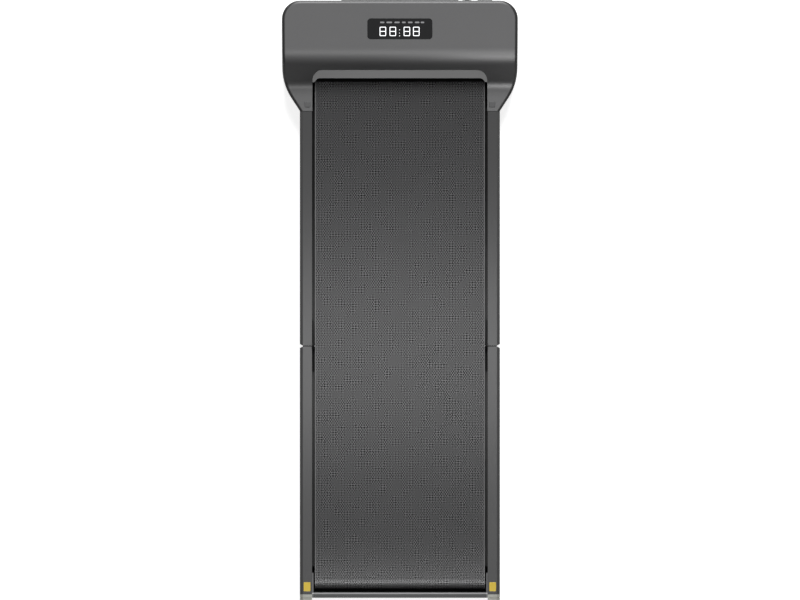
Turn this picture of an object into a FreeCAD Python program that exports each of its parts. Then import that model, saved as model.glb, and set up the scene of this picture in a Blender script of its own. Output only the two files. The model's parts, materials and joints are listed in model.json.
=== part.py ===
"""Folding walking pad: a motor head, a front deck and a rear deck that folds over it.

Millimetres, +Z up, +Y towards the head, origin on the floor under the middle of the pad.
"""
import FreeCAD, Part
import math
import os

import Sketcher

# Driving dimensions, one value for each size that can be set by itself.
SIZES = {
    # whole pad
    "overall_length": 1432,
    "hinge_from_front": 822,
    "fold_gap": 2,
    "hinge_gap": 2,
    "foot_height": 7,
    "cut_overrun": 5,
    "seat_clearance": 0.3,
    "running_clearance": 0.05,
    # head housing
    "shoulder_reach": 42.5,
    "head_side_taper": 1.5,
    "head_corner_radius": 43.5,
    "shoulder_length": 62.5,
    "shoulder_radius": 130,
    "slope_foot_from_mouth": 34,
    "slope_run": 63.3,
    "slope_foot_radius": 30,
    "slope_crest_radius": 60,
    "head_edge_radius": 8,
    "head_wall": 3,
    "tray_height": 19,
    "tray_edge": 2.5,
    "mouth_side_step": 1,
    "mouth_length": 96.5,
    "mouth_corner_radius": 24,
    "mouth_gap": 7.5,
    "lip_depth": 19,
    "lip_side_reach": 31,
    "lip_side_width": 12,
    "lip_tip_width": 2,
    "lip_rise": 18,
    "lip_edge_height": 6,
    "lip_inner_radius": 12,
    # display
    "window_width": 153,
    "window_length": 49,
    "window_radius": 8,
    "window_thickness": 1.6,
    "window_rim": 4,
    "window_sink": 0.4,
    "display_board_thickness": 1.6,
    "display_board_margin": 12,
    "display_boss_height": 8,
    "display_boss_radius": 4,
    # front bumper
    "bumper_width": 276,
    "bumper_depth": 8.2,
    "bumper_gap": 0.8,
    "bumper_height": 16,
    "bumper_rise": 40,
    "bumper_round": 3,
    "bumper_post_width": 14,
    "bumper_post_height": 10,
    "bumper_post_spacing": 90,
    # sockets and switches in the front wall
    "inlet_from_side": 78,
    "inlet_wheel_gap": 3,
    "inlet_flange_width": 34,
    "inlet_flange_height": 26,
    "inlet_flange_thickness": 2,
    "inlet_body_width": 29,
    "inlet_body_height": 21,
    "inlet_body_depth": 24,
    "inlet_recess_width": 24,
    "inlet_recess_height": 16,
    "inlet_recess_depth": 17,
    "inlet_blade_length": 10,
    "inlet_blade_width": 2,
    "inlet_blade_height": 5,
    "inlet_blade_spacing": 7,
    "inlet_blade_offset": 2.4,
    "switch_from_side": 120,
    "switch_height": 66,
    "bezel_width": 21,
    "bezel_height": 26,
    "bezel_thickness": 1.6,
    "bezel_depth": 14,
    "bezel_wall": 2.2,
    "sleeve_wall": 1.5,
    "rocker_gap": 0.6,
    "rocker_end_gap": 1.4,
    "rocker_tip": 1.2,
    "rocker_pivot_depth": 4,
    "rocker_rise": 1.8,
    "rocker_dip": 0.4,
    "rocker_back_depth": 5,
    "rocker_back_height": 11,
    "rocker_pin_radius": 1.5,
    "rocker_pin_length": 1.4,
    "breaker_height": 36,
    "breaker_body_radius": 8,
    "breaker_body_depth": 18,
    "breaker_collar_radius": 6,
    "breaker_collar_length": 3,
    "breaker_button_radius": 3.6,
    "breaker_button_length": 11,
    "breaker_button_proud": 3.2,
    "breaker_button_travel": 2.5,
    # drive
    "drive_from_mouth": 31,
    "roller_radius": 21,
    "roller_overhang": 2,
    "roller_wall": 4,
    "roller_end_wall": 12,
    "drive_shaft_radius": 7.5,
    "drive_bearing_thickness": 12,
    "drive_bearing_size": 40,
    "drive_bearing_round": 8,
    "frame_plate_thickness": 4,
    "frame_plate_front": 37,
    "frame_plate_overlap": 67.5,
    "frame_plate_height": 39,
    "frame_plate_nose": 16,
    "shaft_hole_clearance": 1.5,
    "shaft_end": 2,
    "pulley_width": 14,
    "pulley_flange": 1.5,
    "pulley_flange_height": 2.3,
    "pulley_standoff": 3,
    "motor_pulley_radius": 10,
    "drive_belt_thickness": 2,
    "motor_from_wall": 57,
    "motor_from_drive": 75,
    "motor_floor_gap": 5,
    "motor_radius": 33,
    "motor_length": 126,
    "motor_pulley_gap": 52.5,
    "motor_bell_length": 14,
    "motor_bell_radius": 28,
    "motor_boss_length": 4,
    "motor_boss_radius": 12,
    "motor_shaft_radius": 5,
    "bracket_length": 70,
    "bracket_depth": 54,
    "bracket_height": 22,
    "controller_from_side": 118,
    "controller_from_front": 61,
    "controller_width": 110,
    "controller_depth": 74,
    "controller_board_thickness": 1.6,
    "controller_post_height": 6,
    "controller_post_radius": 3,
    "heatsink_width": 90,
    "heatsink_depth": 26,
    "heatsink_base": 4,
    "heatsink_height": 24,
    "heatsink_fin": 2,
    # transport wheels under the head
    "wheel_radius": 21,
    "wheel_width": 24,
    "wheel_rim": 4,
    "wheel_edge": 2,
    "wheel_web": 8,
    "wheel_hub_radius": 8,
    "wheel_wall_gap": 5,
    "wheel_from_side": 78,
    "wheel_floor_gap": 2.5,
    "wheel_axle_radius": 4,
    "wheel_cheek_thickness": 4,
    "wheel_cheek_gap": 1,
    "wheel_cheek_length": 22,
    "wheel_cheek_height": 22,
    # rails
    "rail_width": 28.5,
    "rail_chamfer": 7,
    "rail_foot_chamfer": 3,
    "rail_wall": 2.5,
    "rail_end_wall": 4,
    "rail_nick_length": 3.5,
    "buffer_inset": 1.5,
    "ledge_reach": 19,
    "ledge_thickness": 4,
    # deck
    "belt_width": 400,
    "belt_thickness": 2,
    "belt_drop": 5,
    "belt_gap": 1,
    "belt_side_gap": 7,
    "belt_floor_gap": 1.9,
    "belt_overhang": 2,
    "deck_thickness": 15,
    "deck_edge_round": 4,
    "deck_hinge_gap": 3,
    "deck_roller_gap": 8,
    "cushion_length": 40,
    "cushion_width": 8,
    "cushion_height": 5,
    "cushion_inset": 1,
    "tube_depth": 30,
    "tube_belt_gap": 2.3,
    "tube_wall": 2,
    "plate_thickness": 1.5,
    "plate_slot_length": 150,
    "plate_slot_width": 8,
    "foot_radius": 11,
    "foot_taper": 2,
    "head_foot_from_front": 90,
    "head_foot_from_side": 128,
    # hinges
    "leaf_thickness": 2.9,
    "leaf_clearance": 0.2,
    "leaf_length": 60,
    "leaf_top_drop": 6.5,
    "leaf_ledge_gap": 3.8,
    "leaf_ear_radius": 7,
    "hinge_pin_radius": 3,
    # rear end
    "cap_length": 25,
    "cap_plug_length": 12,
    "cap_groove_from_end": 16,
    "cap_groove_width": 1.6,
    "cap_groove_depth": 1.2,
    "cap_round": 9,
    "guard_depth": 13,
    "guard_from_end": 17,
    "guard_drop": 3,
    "guard_floor_gap": 6,
    "guard_bevel": 4,
    "guard_arm_thickness": 3.2,
    "guard_arm_length": 46,
    "guard_arm_height": 14,
    "guard_belt_gap": 8.6,
    "idler_axle_radius": 6,
    "idler_axle_reach": 12,
    "idler_bearing_width": 10,
    "tension_block_gap": 3,
    "tension_block_nose": 12,
    "tension_block_height": 24,
    "tension_slot_travel": 14,
    "tension_screw_radius": 4,
    "tension_head_radius": 6.5,
    "tension_head_length": 6,
    "tension_head_sink": 2,
    "tension_socket_radius": 3.4,
    "tension_socket_depth": 3.5,
}

# Places along a deck section, as shares of its length from the hinge.
TUBE_SHARES = (0.10, 0.50, 0.90)
CUSHION_SHARES = (0.03, 0.34, 0.65, 0.97)
FOOT_SHARES = (0.08, 0.88)
SLOT_SHARES = (0.24, 0.35, 0.58, 0.69, 0.90)
# Places of the three cooling slots in the tray floor, as shares of the head's half width.
VENT_SHARES = (-0.32, 0, 0.32)

TOUCH = 1e-4

doc = FreeCAD.newDocument("WalkingPad")
sheet = doc.addObject("Spreadsheet::Sheet", "Sizes")
for row, (alias, number) in enumerate(SIZES.items(), start=1):
    sheet.set(f"A{row}", alias)
    sheet.set(f"B{row}", str(number))
    sheet.setAlias(f"B{row}", alias)
doc.recompute()


class Size:
    """A length of the sheet, or one worked out from such lengths, with its formula."""

    def __init__(self, value, formula):
        self.value = value
        self.formula = formula

    def __add__(self, other):
        other = as_size(other)
        return Size(self.value + other.value, f"({self.formula} + {other.formula})")

    def __sub__(self, other):
        other = as_size(other)
        return Size(self.value - other.value, f"({self.formula} - {other.formula})")

    def __mul__(self, other):
        other = as_size(other)
        return Size(self.value * other.value, f"({self.formula} * {other.formula})")

    def __truediv__(self, other):
        other = as_size(other)
        return Size(self.value / other.value, f"({self.formula} / {other.formula})")

    def __neg__(self):
        return Size(-self.value, f"(-1 * {self.formula})")

    __radd__ = __add__
    __rmul__ = __mul__


def as_size(thing):
    """A plain count or share as a Size, so that formulas can hold it."""
    if isinstance(thing, Size):
        return thing
    return Size(float(thing), str(thing))


class Sheet:
    """The sheet's cells as attributes."""

    def __getattr__(self, alias):
        return Size(float(sheet.get(alias)), f"Sizes.{alias}")


s = Sheet()
ZERO = as_size(0)


def bind(thing, prop, size):
    """Tie one property of a document object to a formula of the sheet."""
    thing.setExpression(prop, as_size(size).formula)


def place(thing, x=ZERO, y=ZERO, z=ZERO):
    """Tie an object's position to formulas of the sheet."""
    bind(thing, "Placement.Base.x", x)
    bind(thing, "Placement.Base.y", y)
    bind(thing, "Placement.Base.z", z)


def turn_to(thing, axis):
    """Lay an object made along +Z down along the named axis."""
    if axis == "x":
        thing.Placement.Rotation = FreeCAD.Rotation(FreeCAD.Vector(0, 1, 0), 90)
    if axis == "y":
        thing.Placement.Rotation = FreeCAD.Rotation(FreeCAD.Vector(1, 0, 0), -90)


def new_body(label):
    body = doc.addObject("PartDesign::Body", label)
    body.Label = label
    return body


def new_sketch(body, plane, offset):
    """An empty sketch on one of the body's own planes, lifted off it by an offset."""
    sketch = body.newObject("Sketcher::SketchObject", f"{body.Name}_outline")
    support = [feature for feature in body.Origin.OriginFeatures if feature.Role == plane]
    sketch.AttachmentSupport = [(support[0], "")]
    sketch.MapMode = "FlatFace"
    bind(sketch, "AttachmentOffset.Base.z", offset)
    return sketch


def pin(sketch, kind, line, size):
    """Hold one coordinate of a line's first point at a formula of the sheet."""
    size = as_size(size)
    index = sketch.addConstraint(Sketcher.Constraint(kind, -1, 1, line, 1, size.value))
    sketch.setExpression(f"Constraints[{index}]", size.formula)


def draw_loop(sketch, points):
    """A closed outline of straight lines through points given as pairs of sizes."""
    points = [(as_size(across), as_size(up)) for across, up in points]
    count = len(points)
    first = sketch.GeometryCount
    for step in range(count):
        here = points[step]
        there = points[(step + 1) % count]
        start = FreeCAD.Vector(here[0].value, here[1].value, 0)
        end = FreeCAD.Vector(there[0].value, there[1].value, 0)
        sketch.addGeometry(Part.LineSegment(start, end))
    for step in range(count):
        following = first + (step + 1) % count
        sketch.addConstraint(Sketcher.Constraint("Coincident", first + step, 2, following, 1))
    for step, (across, up) in enumerate(points):
        pin(sketch, "DistanceX", first + step, across)
        pin(sketch, "DistanceY", first + step, up)


def pad(body, plane, points, start, length, backwards=False):
    """Extrude an outline from a start height on one of the body's planes."""
    sketch = new_sketch(body, plane, start)
    draw_loop(sketch, points)
    feature = body.newObject("PartDesign::Pad", f"{body.Name}_pad")
    feature.Profile = sketch
    feature.Reversed = backwards
    bind(feature, "Length", length)
    doc.recompute()
    return feature


def pocket(body, plane, points, start, length, backwards=False):
    """Cut an outline into the body, and make sure that it took material away."""
    before = body.Shape.Volume
    sketch = new_sketch(body, plane, start)
    draw_loop(sketch, points)
    feature = body.newObject("PartDesign::Pocket", f"{body.Name}_pocket")
    feature.Profile = sketch
    feature.Reversed = backwards
    bind(feature, "Length", length)
    doc.recompute()
    if body.Shape.Volume >= before:
        raise RuntimeError(f"{body.Label}: a pocket cut nothing")
    return feature


def ends_match(edge, places):
    """Whether both ends of an edge lie at the given places, as a dict of axis to value."""
    for vertex in edge.Vertexes:
        for axis, value in places.items():
            if abs(getattr(vertex, axis) - as_size(value).value) > TOUCH:
                return False
    return True


def edge_names(shape, choose):
    return [f"Edge{index}" for index, edge in enumerate(shape.Edges, start=1) if choose(edge)]


def soften(body, kind, size_name, size, choose):
    """Fillet or chamfer the edges of the body's tip that the choice picks."""
    base = body.Tip
    names = edge_names(base.Shape, choose)
    if not names:
        raise RuntimeError(f"{body.Label}: no edge to soften")
    feature = body.newObject(f"PartDesign::{kind}", f"{body.Name}_{kind.lower()}")
    feature.Base = (base, names)
    bind(feature, size_name, size)
    doc.recompute()
    return feature


def fillet_at(body, radius, *corners):
    """Round the straight edges that lie at the given places."""
    def choose(edge):
        return any(ends_match(edge, corner) for corner in corners)
    return soften(body, "Fillet", "Radius", radius, choose)


def chamfer_at(body, size, *corners):
    """Bevel the straight edges that lie at the given places."""
    def choose(edge):
        return any(ends_match(edge, corner) for corner in corners)
    return soften(body, "Chamfer", "Size", size, choose)


def rectangle(left, right, low, high):
    return [(left, low), (right, low), (right, high), (left, high)]


def box(name, left, right, back, front, low, high):
    """A block between two places along each axis."""
    block = doc.addObject("Part::Box", name)
    bind(block, "Length", right - left)
    bind(block, "Width", front - back)
    bind(block, "Height", high - low)
    place(block, left, back, low)
    return block


def rod(name, axis, radius, length, x, y, z):
    """A cylinder that starts at a point and runs along an axis."""
    cylinder = doc.addObject("Part::Cylinder", name)
    bind(cylinder, "Radius", radius)
    bind(cylinder, "Height", length)
    turn_to(cylinder, axis)
    place(cylinder, x, y, z)
    return cylinder


def fuse(name, *pieces):
    joined = doc.addObject("Part::MultiFuse", name)
    joined.Shapes = list(pieces)
    joined.Refine = True
    doc.recompute()
    return joined


def cut(name, base, *tools):
    """Take every tool away from the base, one after the other."""
    result = base
    for index, tool in enumerate(tools, start=1):
        last = index == len(tools)
        step = doc.addObject("Part::Cut", name if last else f"{name}_step")
        step.Base = result
        step.Tool = tool
        result = step
    doc.recompute()
    return result


def group(label, *pieces):
    """Separate solids that share one node."""
    gathered = doc.addObject("Part::Compound", label)
    gathered.Links = list(pieces)
    gathered.Label = label
    return gathered


def turned(label, outline, x, y, z):
    """A body turned about an axis along X: the outline is pairs of place and radius."""
    body = new_body(label)
    sketch = new_sketch(body, "XY_Plane", ZERO)
    draw_loop(sketch, outline)
    feature = body.newObject("PartDesign::Revolution", f"{label}_turn")
    feature.Profile = sketch
    feature.ReferenceAxis = (sketch, ["H_Axis"])
    feature.Angle = 360
    place(body, x, y, z)
    doc.recompute()
    return body


nodes = []


def keep(label, thing):
    """Name a finished sub-part and put it on the list of nodes."""
    thing.Label = label
    nodes.append(thing)
    return thing


# Places shared by several pieces. Heights follow from the rollers, widths from the belt.
front_y = s.overall_length / 2
rear_y = -front_y
hinge_y = front_y - s.hinge_from_front
tray_top = s.foot_height + s.tray_height
tray_floor = s.foot_height + s.head_wall
belt_bend = s.roller_radius + s.seat_clearance
belt_round = belt_bend + s.belt_thickness
belt_low = tray_floor + s.belt_floor_gap
roller_z = belt_low + belt_round
belt_top = roller_z + belt_round
rail_top = belt_top + s.belt_drop
rail_low = s.foot_height
hinge_z = rail_top + s.fold_gap / 2
head_height = hinge_z * 2
belt_half = s.belt_width / 2
deck_half = belt_half - s.belt_overhang
roller_half = belt_half + s.roller_overhang
rail_inner = belt_half + s.belt_side_gap
frame_half = rail_inner + s.rail_width
mouth_half = rail_inner - s.mouth_side_step
head_half = frame_half + s.shoulder_reach
head_front = front_y - s.bumper_depth - s.bumper_gap
motor_y = head_front - s.motor_from_wall
motor_z = tray_floor + s.motor_floor_gap + s.motor_radius
drive_y = motor_y - s.motor_from_drive
mouth_front = drive_y - s.drive_from_mouth
mouth_height = belt_top + s.mouth_gap
seam_y = mouth_front - s.mouth_length
slope_foot_y = mouth_front - s.slope_foot_from_mouth
wheel_x = head_half - s.wheel_from_side
wheel_y = head_front - s.head_wall - s.wheel_wall_gap - s.wheel_radius
wheel_z = s.wheel_floor_gap + s.wheel_radius
inlet_x = head_half - s.inlet_from_side
inlet_z = wheel_z + s.wheel_radius + s.inlet_wheel_gap + s.inlet_body_height / 2
switch_x = head_half - s.switch_from_side
guard_front = rear_y + s.guard_from_end + s.guard_depth
idler_y = guard_front + s.guard_belt_gap + belt_round
deck_top = belt_top - s.belt_thickness - s.seat_clearance
deck_low = deck_top - s.deck_thickness
ledge_top = deck_low - s.cushion_height
front_rail_start = hinge_y + s.hinge_gap / 2
rear_rail_start = hinge_y - s.hinge_gap / 2
rear_rail_end = rear_y + s.cap_length
hollow_inner = rail_inner + s.rail_wall
hollow_outer = frame_half - s.rail_wall


def root(size):
    """The square root of a formula."""
    return Size(math.sqrt(size.value), f"sqrt({size.formula})")


def head_outline(inset, past):
    """The head's plan, set in by a wall and run on past the seam to the rails."""
    half = head_half - inset
    shoulder = half - s.head_side_taper
    seam = frame_half - inset
    back = seam - (shoulder - seam) * past / s.shoulder_length
    back_y = seam_y - past
    shoulder_y = seam_y + s.shoulder_length
    front = head_front - inset
    right = [(back, back_y), (shoulder, shoulder_y), (half, front)]
    left = [(-across, along) for across, along in reversed(right)]
    return right + left


def round_head_plan(body, inset):
    """Round the two front corners and the two shoulders of a head form."""
    half = head_half - inset
    shoulder = half - s.head_side_taper
    shoulder_y = seam_y + s.shoulder_length
    front = head_front - inset
    fillet_at(body, s.head_corner_radius - inset, {"X": half, "Y": front}, {"X": -half, "Y": front})
    shoulders = {"X": shoulder, "Y": shoulder_y}, {"X": -shoulder, "Y": shoulder_y}
    fillet_at(body, s.shoulder_radius - inset, *shoulders)


def upward_share(face, point):
    """How far a face looks up at a point: 1 is level, 0 is upright."""
    across, along = face.Surface.parameter(point)
    return face.normalAt(across, along).z


def rim_choice(shape, back_y):
    """A choice of the edges between the head's walls and its top, but not those at the seam."""
    level_share = 0.3
    upright_share = 0.05

    def choose(edge):
        middle = edge.valueAt((edge.FirstParameter + edge.LastParameter) / 2)
        if abs(middle.y - back_y.value) < TOUCH:
            return False
        tilts = [upward_share(face, middle) for face in shape.ancestorsOfType(edge, Part.Face)]
        return max(tilts) > level_share and abs(min(tilts)) < upright_share
    return choose


def head_form(name, inset, low, past):
    """The head housing's outer form, or the same form set in by a wall for its hollow."""
    body = new_body(name)
    top = head_height - inset
    wing = rail_top - inset
    rise = head_height - rail_top
    half_slope = (root(s.slope_run * s.slope_run + rise * rise) - s.slope_run) / rise
    foot_y = slope_foot_y + inset * half_slope
    crest_y = foot_y + s.slope_run
    back_y = seam_y - past
    pad(body, "XY_Plane", head_outline(inset, past), low, top - low)
    round_head_plan(body, inset)
    behind = back_y - s.cut_overrun
    above = top + s.cut_overrun
    slope = [(behind, wing), (foot_y, wing), (crest_y, top), (crest_y, above), (behind, above)]
    pocket(body, "YZ_Plane", slope, -head_half, head_half * 2, backwards=True)
    fillet_at(body, s.slope_foot_radius + inset, {"Y": foot_y, "Z": wing})
    fillet_at(body, s.slope_crest_radius - inset, {"Y": crest_y, "Z": top})
    rim = rim_choice(body.Tip.Shape, back_y)
    soften(body, "Fillet", "Radius", s.head_edge_radius - inset, rim)
    return body


def mouth_form(name, margin):
    """The upright passage of the belt mouth, widened by a margin."""
    body = new_body(name)
    half = mouth_half + margin
    front = mouth_front + margin
    back = seam_y - s.cut_overrun * 2
    low = tray_top - s.cut_overrun * 2
    plan = rectangle(-half, half, back, front)
    pad(body, "XY_Plane", plan, low, head_height + s.cut_overrun - low)
    fillet_at(body, s.mouth_corner_radius + margin, {"X": half, "Y": front}, {"X": -half, "Y": front})
    return body


window_y = (slope_foot_y + s.slope_run + head_front) / 2
boss_x = s.window_width / 2 + s.display_board_margin / 2
boss_y = s.window_length / 2 + s.display_board_margin / 2
display_board_top = head_height - s.head_wall - s.display_boss_height


def window_cuts():
    """The seat of the display window and the opening under it."""
    half = s.window_width / 2 + s.running_clearance
    deep = s.window_length / 2 + s.running_clearance
    seat_low = head_height - s.window_sink - s.window_thickness
    above = head_height + s.cut_overrun
    seat = new_body("window_seat")
    plan = rectangle(-half, half, window_y - deep, window_y + deep)
    pad(seat, "XY_Plane", plan, seat_low, above - seat_low)
    corners = [{"X": x, "Y": y} for x in (-half, half) for y in (window_y - deep, window_y + deep)]
    fillet_at(seat, s.window_radius, *corners)
    half = half - s.window_rim
    deep = deep - s.window_rim
    below = head_height - s.head_wall - s.cut_overrun
    opening = box("window_opening", -half, half, window_y - deep, window_y + deep, below, above)
    return seat, opening


def front_wall_cuts():
    """Openings in the front wall for the inlet, the switch and the breaker collar."""
    back = head_front - s.head_wall - s.cut_overrun
    ahead = head_front + s.cut_overrun
    inlet_half = s.inlet_body_width / 2 + s.seat_clearance
    inlet_rise = s.inlet_body_height / 2 + s.seat_clearance
    inlet = box(
        "inlet_opening",
        inlet_x - inlet_half, inlet_x + inlet_half,
        back, ahead,
        inlet_z - inlet_rise, inlet_z + inlet_rise,
    )
    bezel_half = s.bezel_width / 2 - s.bezel_wall + s.seat_clearance
    bezel_rise = s.bezel_height / 2 - s.bezel_wall + s.seat_clearance
    switch = box(
        "switch_opening",
        switch_x - bezel_half, switch_x + bezel_half,
        back, ahead,
        s.switch_height - bezel_rise, s.switch_height + bezel_rise,
    )
    collar = rod(
        "breaker_opening", "y", s.breaker_collar_radius + s.running_clearance, ahead - back,
        switch_x, back, s.breaker_height,
    )
    return inlet, switch, collar


def make_head_cover():
    """The moulded top of the head: a shell with shoulders, a slope and the belt mouth."""
    outer = head_form("head_outer", ZERO, tray_top, ZERO)
    inner = head_form("head_inner", s.head_wall, tray_top - s.cut_overrun, s.cut_overrun)
    cavity = cut("head_cavity", inner, mouth_form("mouth_surround", s.head_wall))
    belt_slot = box(
        "belt_slot", -mouth_half, mouth_half,
        seam_y - s.cut_overrun, mouth_front + s.head_wall + s.cut_overrun,
        tray_top - s.cut_overrun, mouth_height,
    )
    shell = cut("head_shell", outer, cavity, mouth_form("mouth_passage", ZERO), belt_slot)
    bosses = []
    for across in (-boss_x, boss_x):
        for along in (-boss_y, boss_y):
            length = s.display_boss_height + s.head_wall / 2
            boss = rod(
                "display_boss", "z", s.display_boss_radius, length,
                across, window_y + along, display_board_top,
            )
            bosses.append(boss)
    bossed = fuse("head_bossed", shell, *bosses)
    keep("head_cover", cut("head_cover", bossed, *window_cuts(), *front_wall_cuts()))


def make_mouth_trim():
    """The lighter lip along the upper edge of the belt mouth, sloping down to the belt."""
    body = new_body("mouth_trim")
    half = mouth_half - s.seat_clearance
    front = mouth_front - s.seat_clearance
    tip_y = front - s.lip_side_reach
    edge_y = front - s.lip_depth
    low = mouth_height
    top = low + s.lip_rise
    right = [(half - s.lip_side_width, edge_y), (half - s.lip_tip_width, tip_y), (half, tip_y), (half, front)]
    left = [(-across, along) for across, along in reversed(right)]
    pad(body, "XY_Plane", right + left, low, s.lip_rise)
    outer = s.mouth_corner_radius - s.seat_clearance
    fillet_at(body, outer, {"X": half, "Y": front}, {"X": -half, "Y": front})
    inner = half - s.lip_side_width
    fillet_at(body, s.lip_inner_radius, {"X": inner, "Y": edge_y}, {"X": -inner, "Y": edge_y})
    fall = (s.lip_rise - s.lip_edge_height) / s.lip_depth
    behind = tip_y - s.cut_overrun
    behind_z = top - fall * (front - behind)
    above = top + s.cut_overrun
    wedge = [(front, top), (front, above), (behind, above), (behind, behind_z)]
    pocket(body, "YZ_Plane", wedge, -head_half, head_half * 2, backwards=True)
    keep("mouth_trim", body)


def make_base_tray():
    """The pan under the head, with wheel slots, cooling slots and the wheels' cheeks."""
    outer = new_body("tray_outer")
    pad(outer, "XY_Plane", head_outline(ZERO, ZERO), s.foot_height, s.tray_height)
    round_head_plan(outer, ZERO)

    def low_rim(edge):
        middle = edge.valueAt((edge.FirstParameter + edge.LastParameter) / 2)
        return abs(middle.z - s.foot_height.value) < TOUCH and abs(middle.y - seam_y.value) > TOUCH
    soften(outer, "Chamfer", "Size", s.tray_edge, low_rim)
    inner = new_body("tray_inner")
    pad(inner, "XY_Plane", head_outline(s.head_wall, s.cut_overrun), tray_floor, s.tray_height)
    round_head_plan(inner, s.head_wall)
    pan = cut("tray_pan", outer, inner)
    cheeks = []
    tools = []
    slot_half = s.wheel_width / 2 + s.wheel_cheek_gap
    slot_deep = s.wheel_radius + s.wheel_cheek_gap
    for side in (-1, 1):
        middle = side * wheel_x
        slot = box(
            "wheel_slot", middle - slot_half, middle + slot_half,
            wheel_y - slot_deep, wheel_y + slot_deep,
            s.foot_height - s.cut_overrun, tray_floor + s.cut_overrun,
        )
        tools.append(slot)
        for way in (-1, 1):
            near = middle + way * slot_half
            far = near + way * s.wheel_cheek_thickness
            left, right = (far, near) if way < 0 else (near, far)
            cheek = box(
                "wheel_cheek", left, right,
                wheel_y - s.wheel_cheek_length / 2, wheel_y + s.wheel_cheek_length / 2,
                tray_floor - s.head_wall / 2, tray_floor + s.wheel_cheek_height,
            )
            cheeks.append(cheek)
        reach = slot_half + s.wheel_cheek_thickness + s.cut_overrun
        bore = rod(
            "wheel_axle_bore", "x", s.wheel_axle_radius + s.running_clearance, reach * 2,
            middle - reach, wheel_y, wheel_z,
        )
        tools.append(bore)
    for share in VENT_SHARES:
        middle = head_half * share
        vent = box(
            "tray_vent", middle - s.plate_slot_length / 4, middle + s.plate_slot_length / 4,
            wheel_y - s.plate_slot_width / 2, wheel_y + s.plate_slot_width / 2,
            s.foot_height - s.cut_overrun, tray_floor + s.cut_overrun,
        )
        tools.append(vent)
    keep("base_tray", cut("base_tray", fuse("tray_cheeked", pan, *cheeks), *tools))


def make_display():
    """The dark display window and the board that hangs under it."""
    window = new_body("display_window")
    half = s.window_width / 2
    deep = s.window_length / 2
    low = head_height - s.window_sink - s.window_thickness
    plan = rectangle(-half, half, window_y - deep, window_y + deep)
    pad(window, "XY_Plane", plan, low, s.window_thickness)
    corners = [{"X": x, "Y": y} for x in (-half, half) for y in (window_y - deep, window_y + deep)]
    fillet_at(window, s.window_radius - s.running_clearance, *corners)
    keep("display_window", window)
    board_half = half + s.display_board_margin
    board_deep = deep + s.display_board_margin
    board = box(
        "display_board", -board_half, board_half, window_y - board_deep, window_y + board_deep,
        display_board_top - s.display_board_thickness, display_board_top,
    )
    keep("display_board", board)


def make_front_bumper():
    """The bar ahead of the front wall, on three posts."""
    body = new_body("front_bumper")
    half = s.bumper_width / 2
    back = front_y - s.bumper_depth
    pad(body, "XY_Plane", rectangle(-half, half, back, front_y), s.bumper_rise, s.bumper_height)
    corners = [{"X": x, "Y": front_y} for x in (-half, half)]
    fillet_at(body, s.bumper_round, *corners)
    post_low = s.bumper_rise + (s.bumper_height - s.bumper_post_height) / 2
    post_half = s.bumper_post_width / 2
    for way in (-1, 0, 1):
        middle = way * s.bumper_post_spacing
        post = rectangle(middle - post_half, middle + post_half, head_front, back)
        pad(body, "XY_Plane", post, post_low, s.bumper_post_height)
    keep("front_bumper", body)


make_head_cover()
make_mouth_trim()
make_base_tray()
make_display()
make_front_bumper()


def span(side, near, far):
    """The left and right places of something between two distances from the middle."""
    if side > 0:
        return near, far
    return -far, -near


def make_power_inlet():
    """A flanged inlet with three blades in a recess."""
    body = new_body("power_inlet")
    face = head_front + s.inlet_flange_thickness

    def frame(width, height):
        return rectangle(
            inlet_x - width / 2, inlet_x + width / 2,
            inlet_z - height / 2, inlet_z + height / 2,
        )
    flange = frame(s.inlet_flange_width, s.inlet_flange_height)
    pad(body, "XZ_Plane", flange, -face, s.inlet_flange_thickness)
    pad(body, "XZ_Plane", frame(s.inlet_body_width, s.inlet_body_height), -head_front, s.inlet_body_depth)
    recess = frame(s.inlet_recess_width, s.inlet_recess_height)
    pocket(body, "XZ_Plane", recess, -face, s.inlet_recess_depth, backwards=True)
    floor = face - s.inlet_recess_depth
    blade_half = s.inlet_blade_width / 2
    blade_rise = s.inlet_blade_height / 2
    for way, lift in ((-1, -1), (0, 1), (1, -1)):
        middle = inlet_x + way * s.inlet_blade_spacing
        level = inlet_z + lift * s.inlet_blade_offset
        blade = rectangle(middle - blade_half, middle + blade_half, level - blade_rise, level + blade_rise)
        pad(body, "XZ_Plane", blade, -floor, s.inlet_blade_length, backwards=True)
    keep("power_inlet", body)


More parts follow.
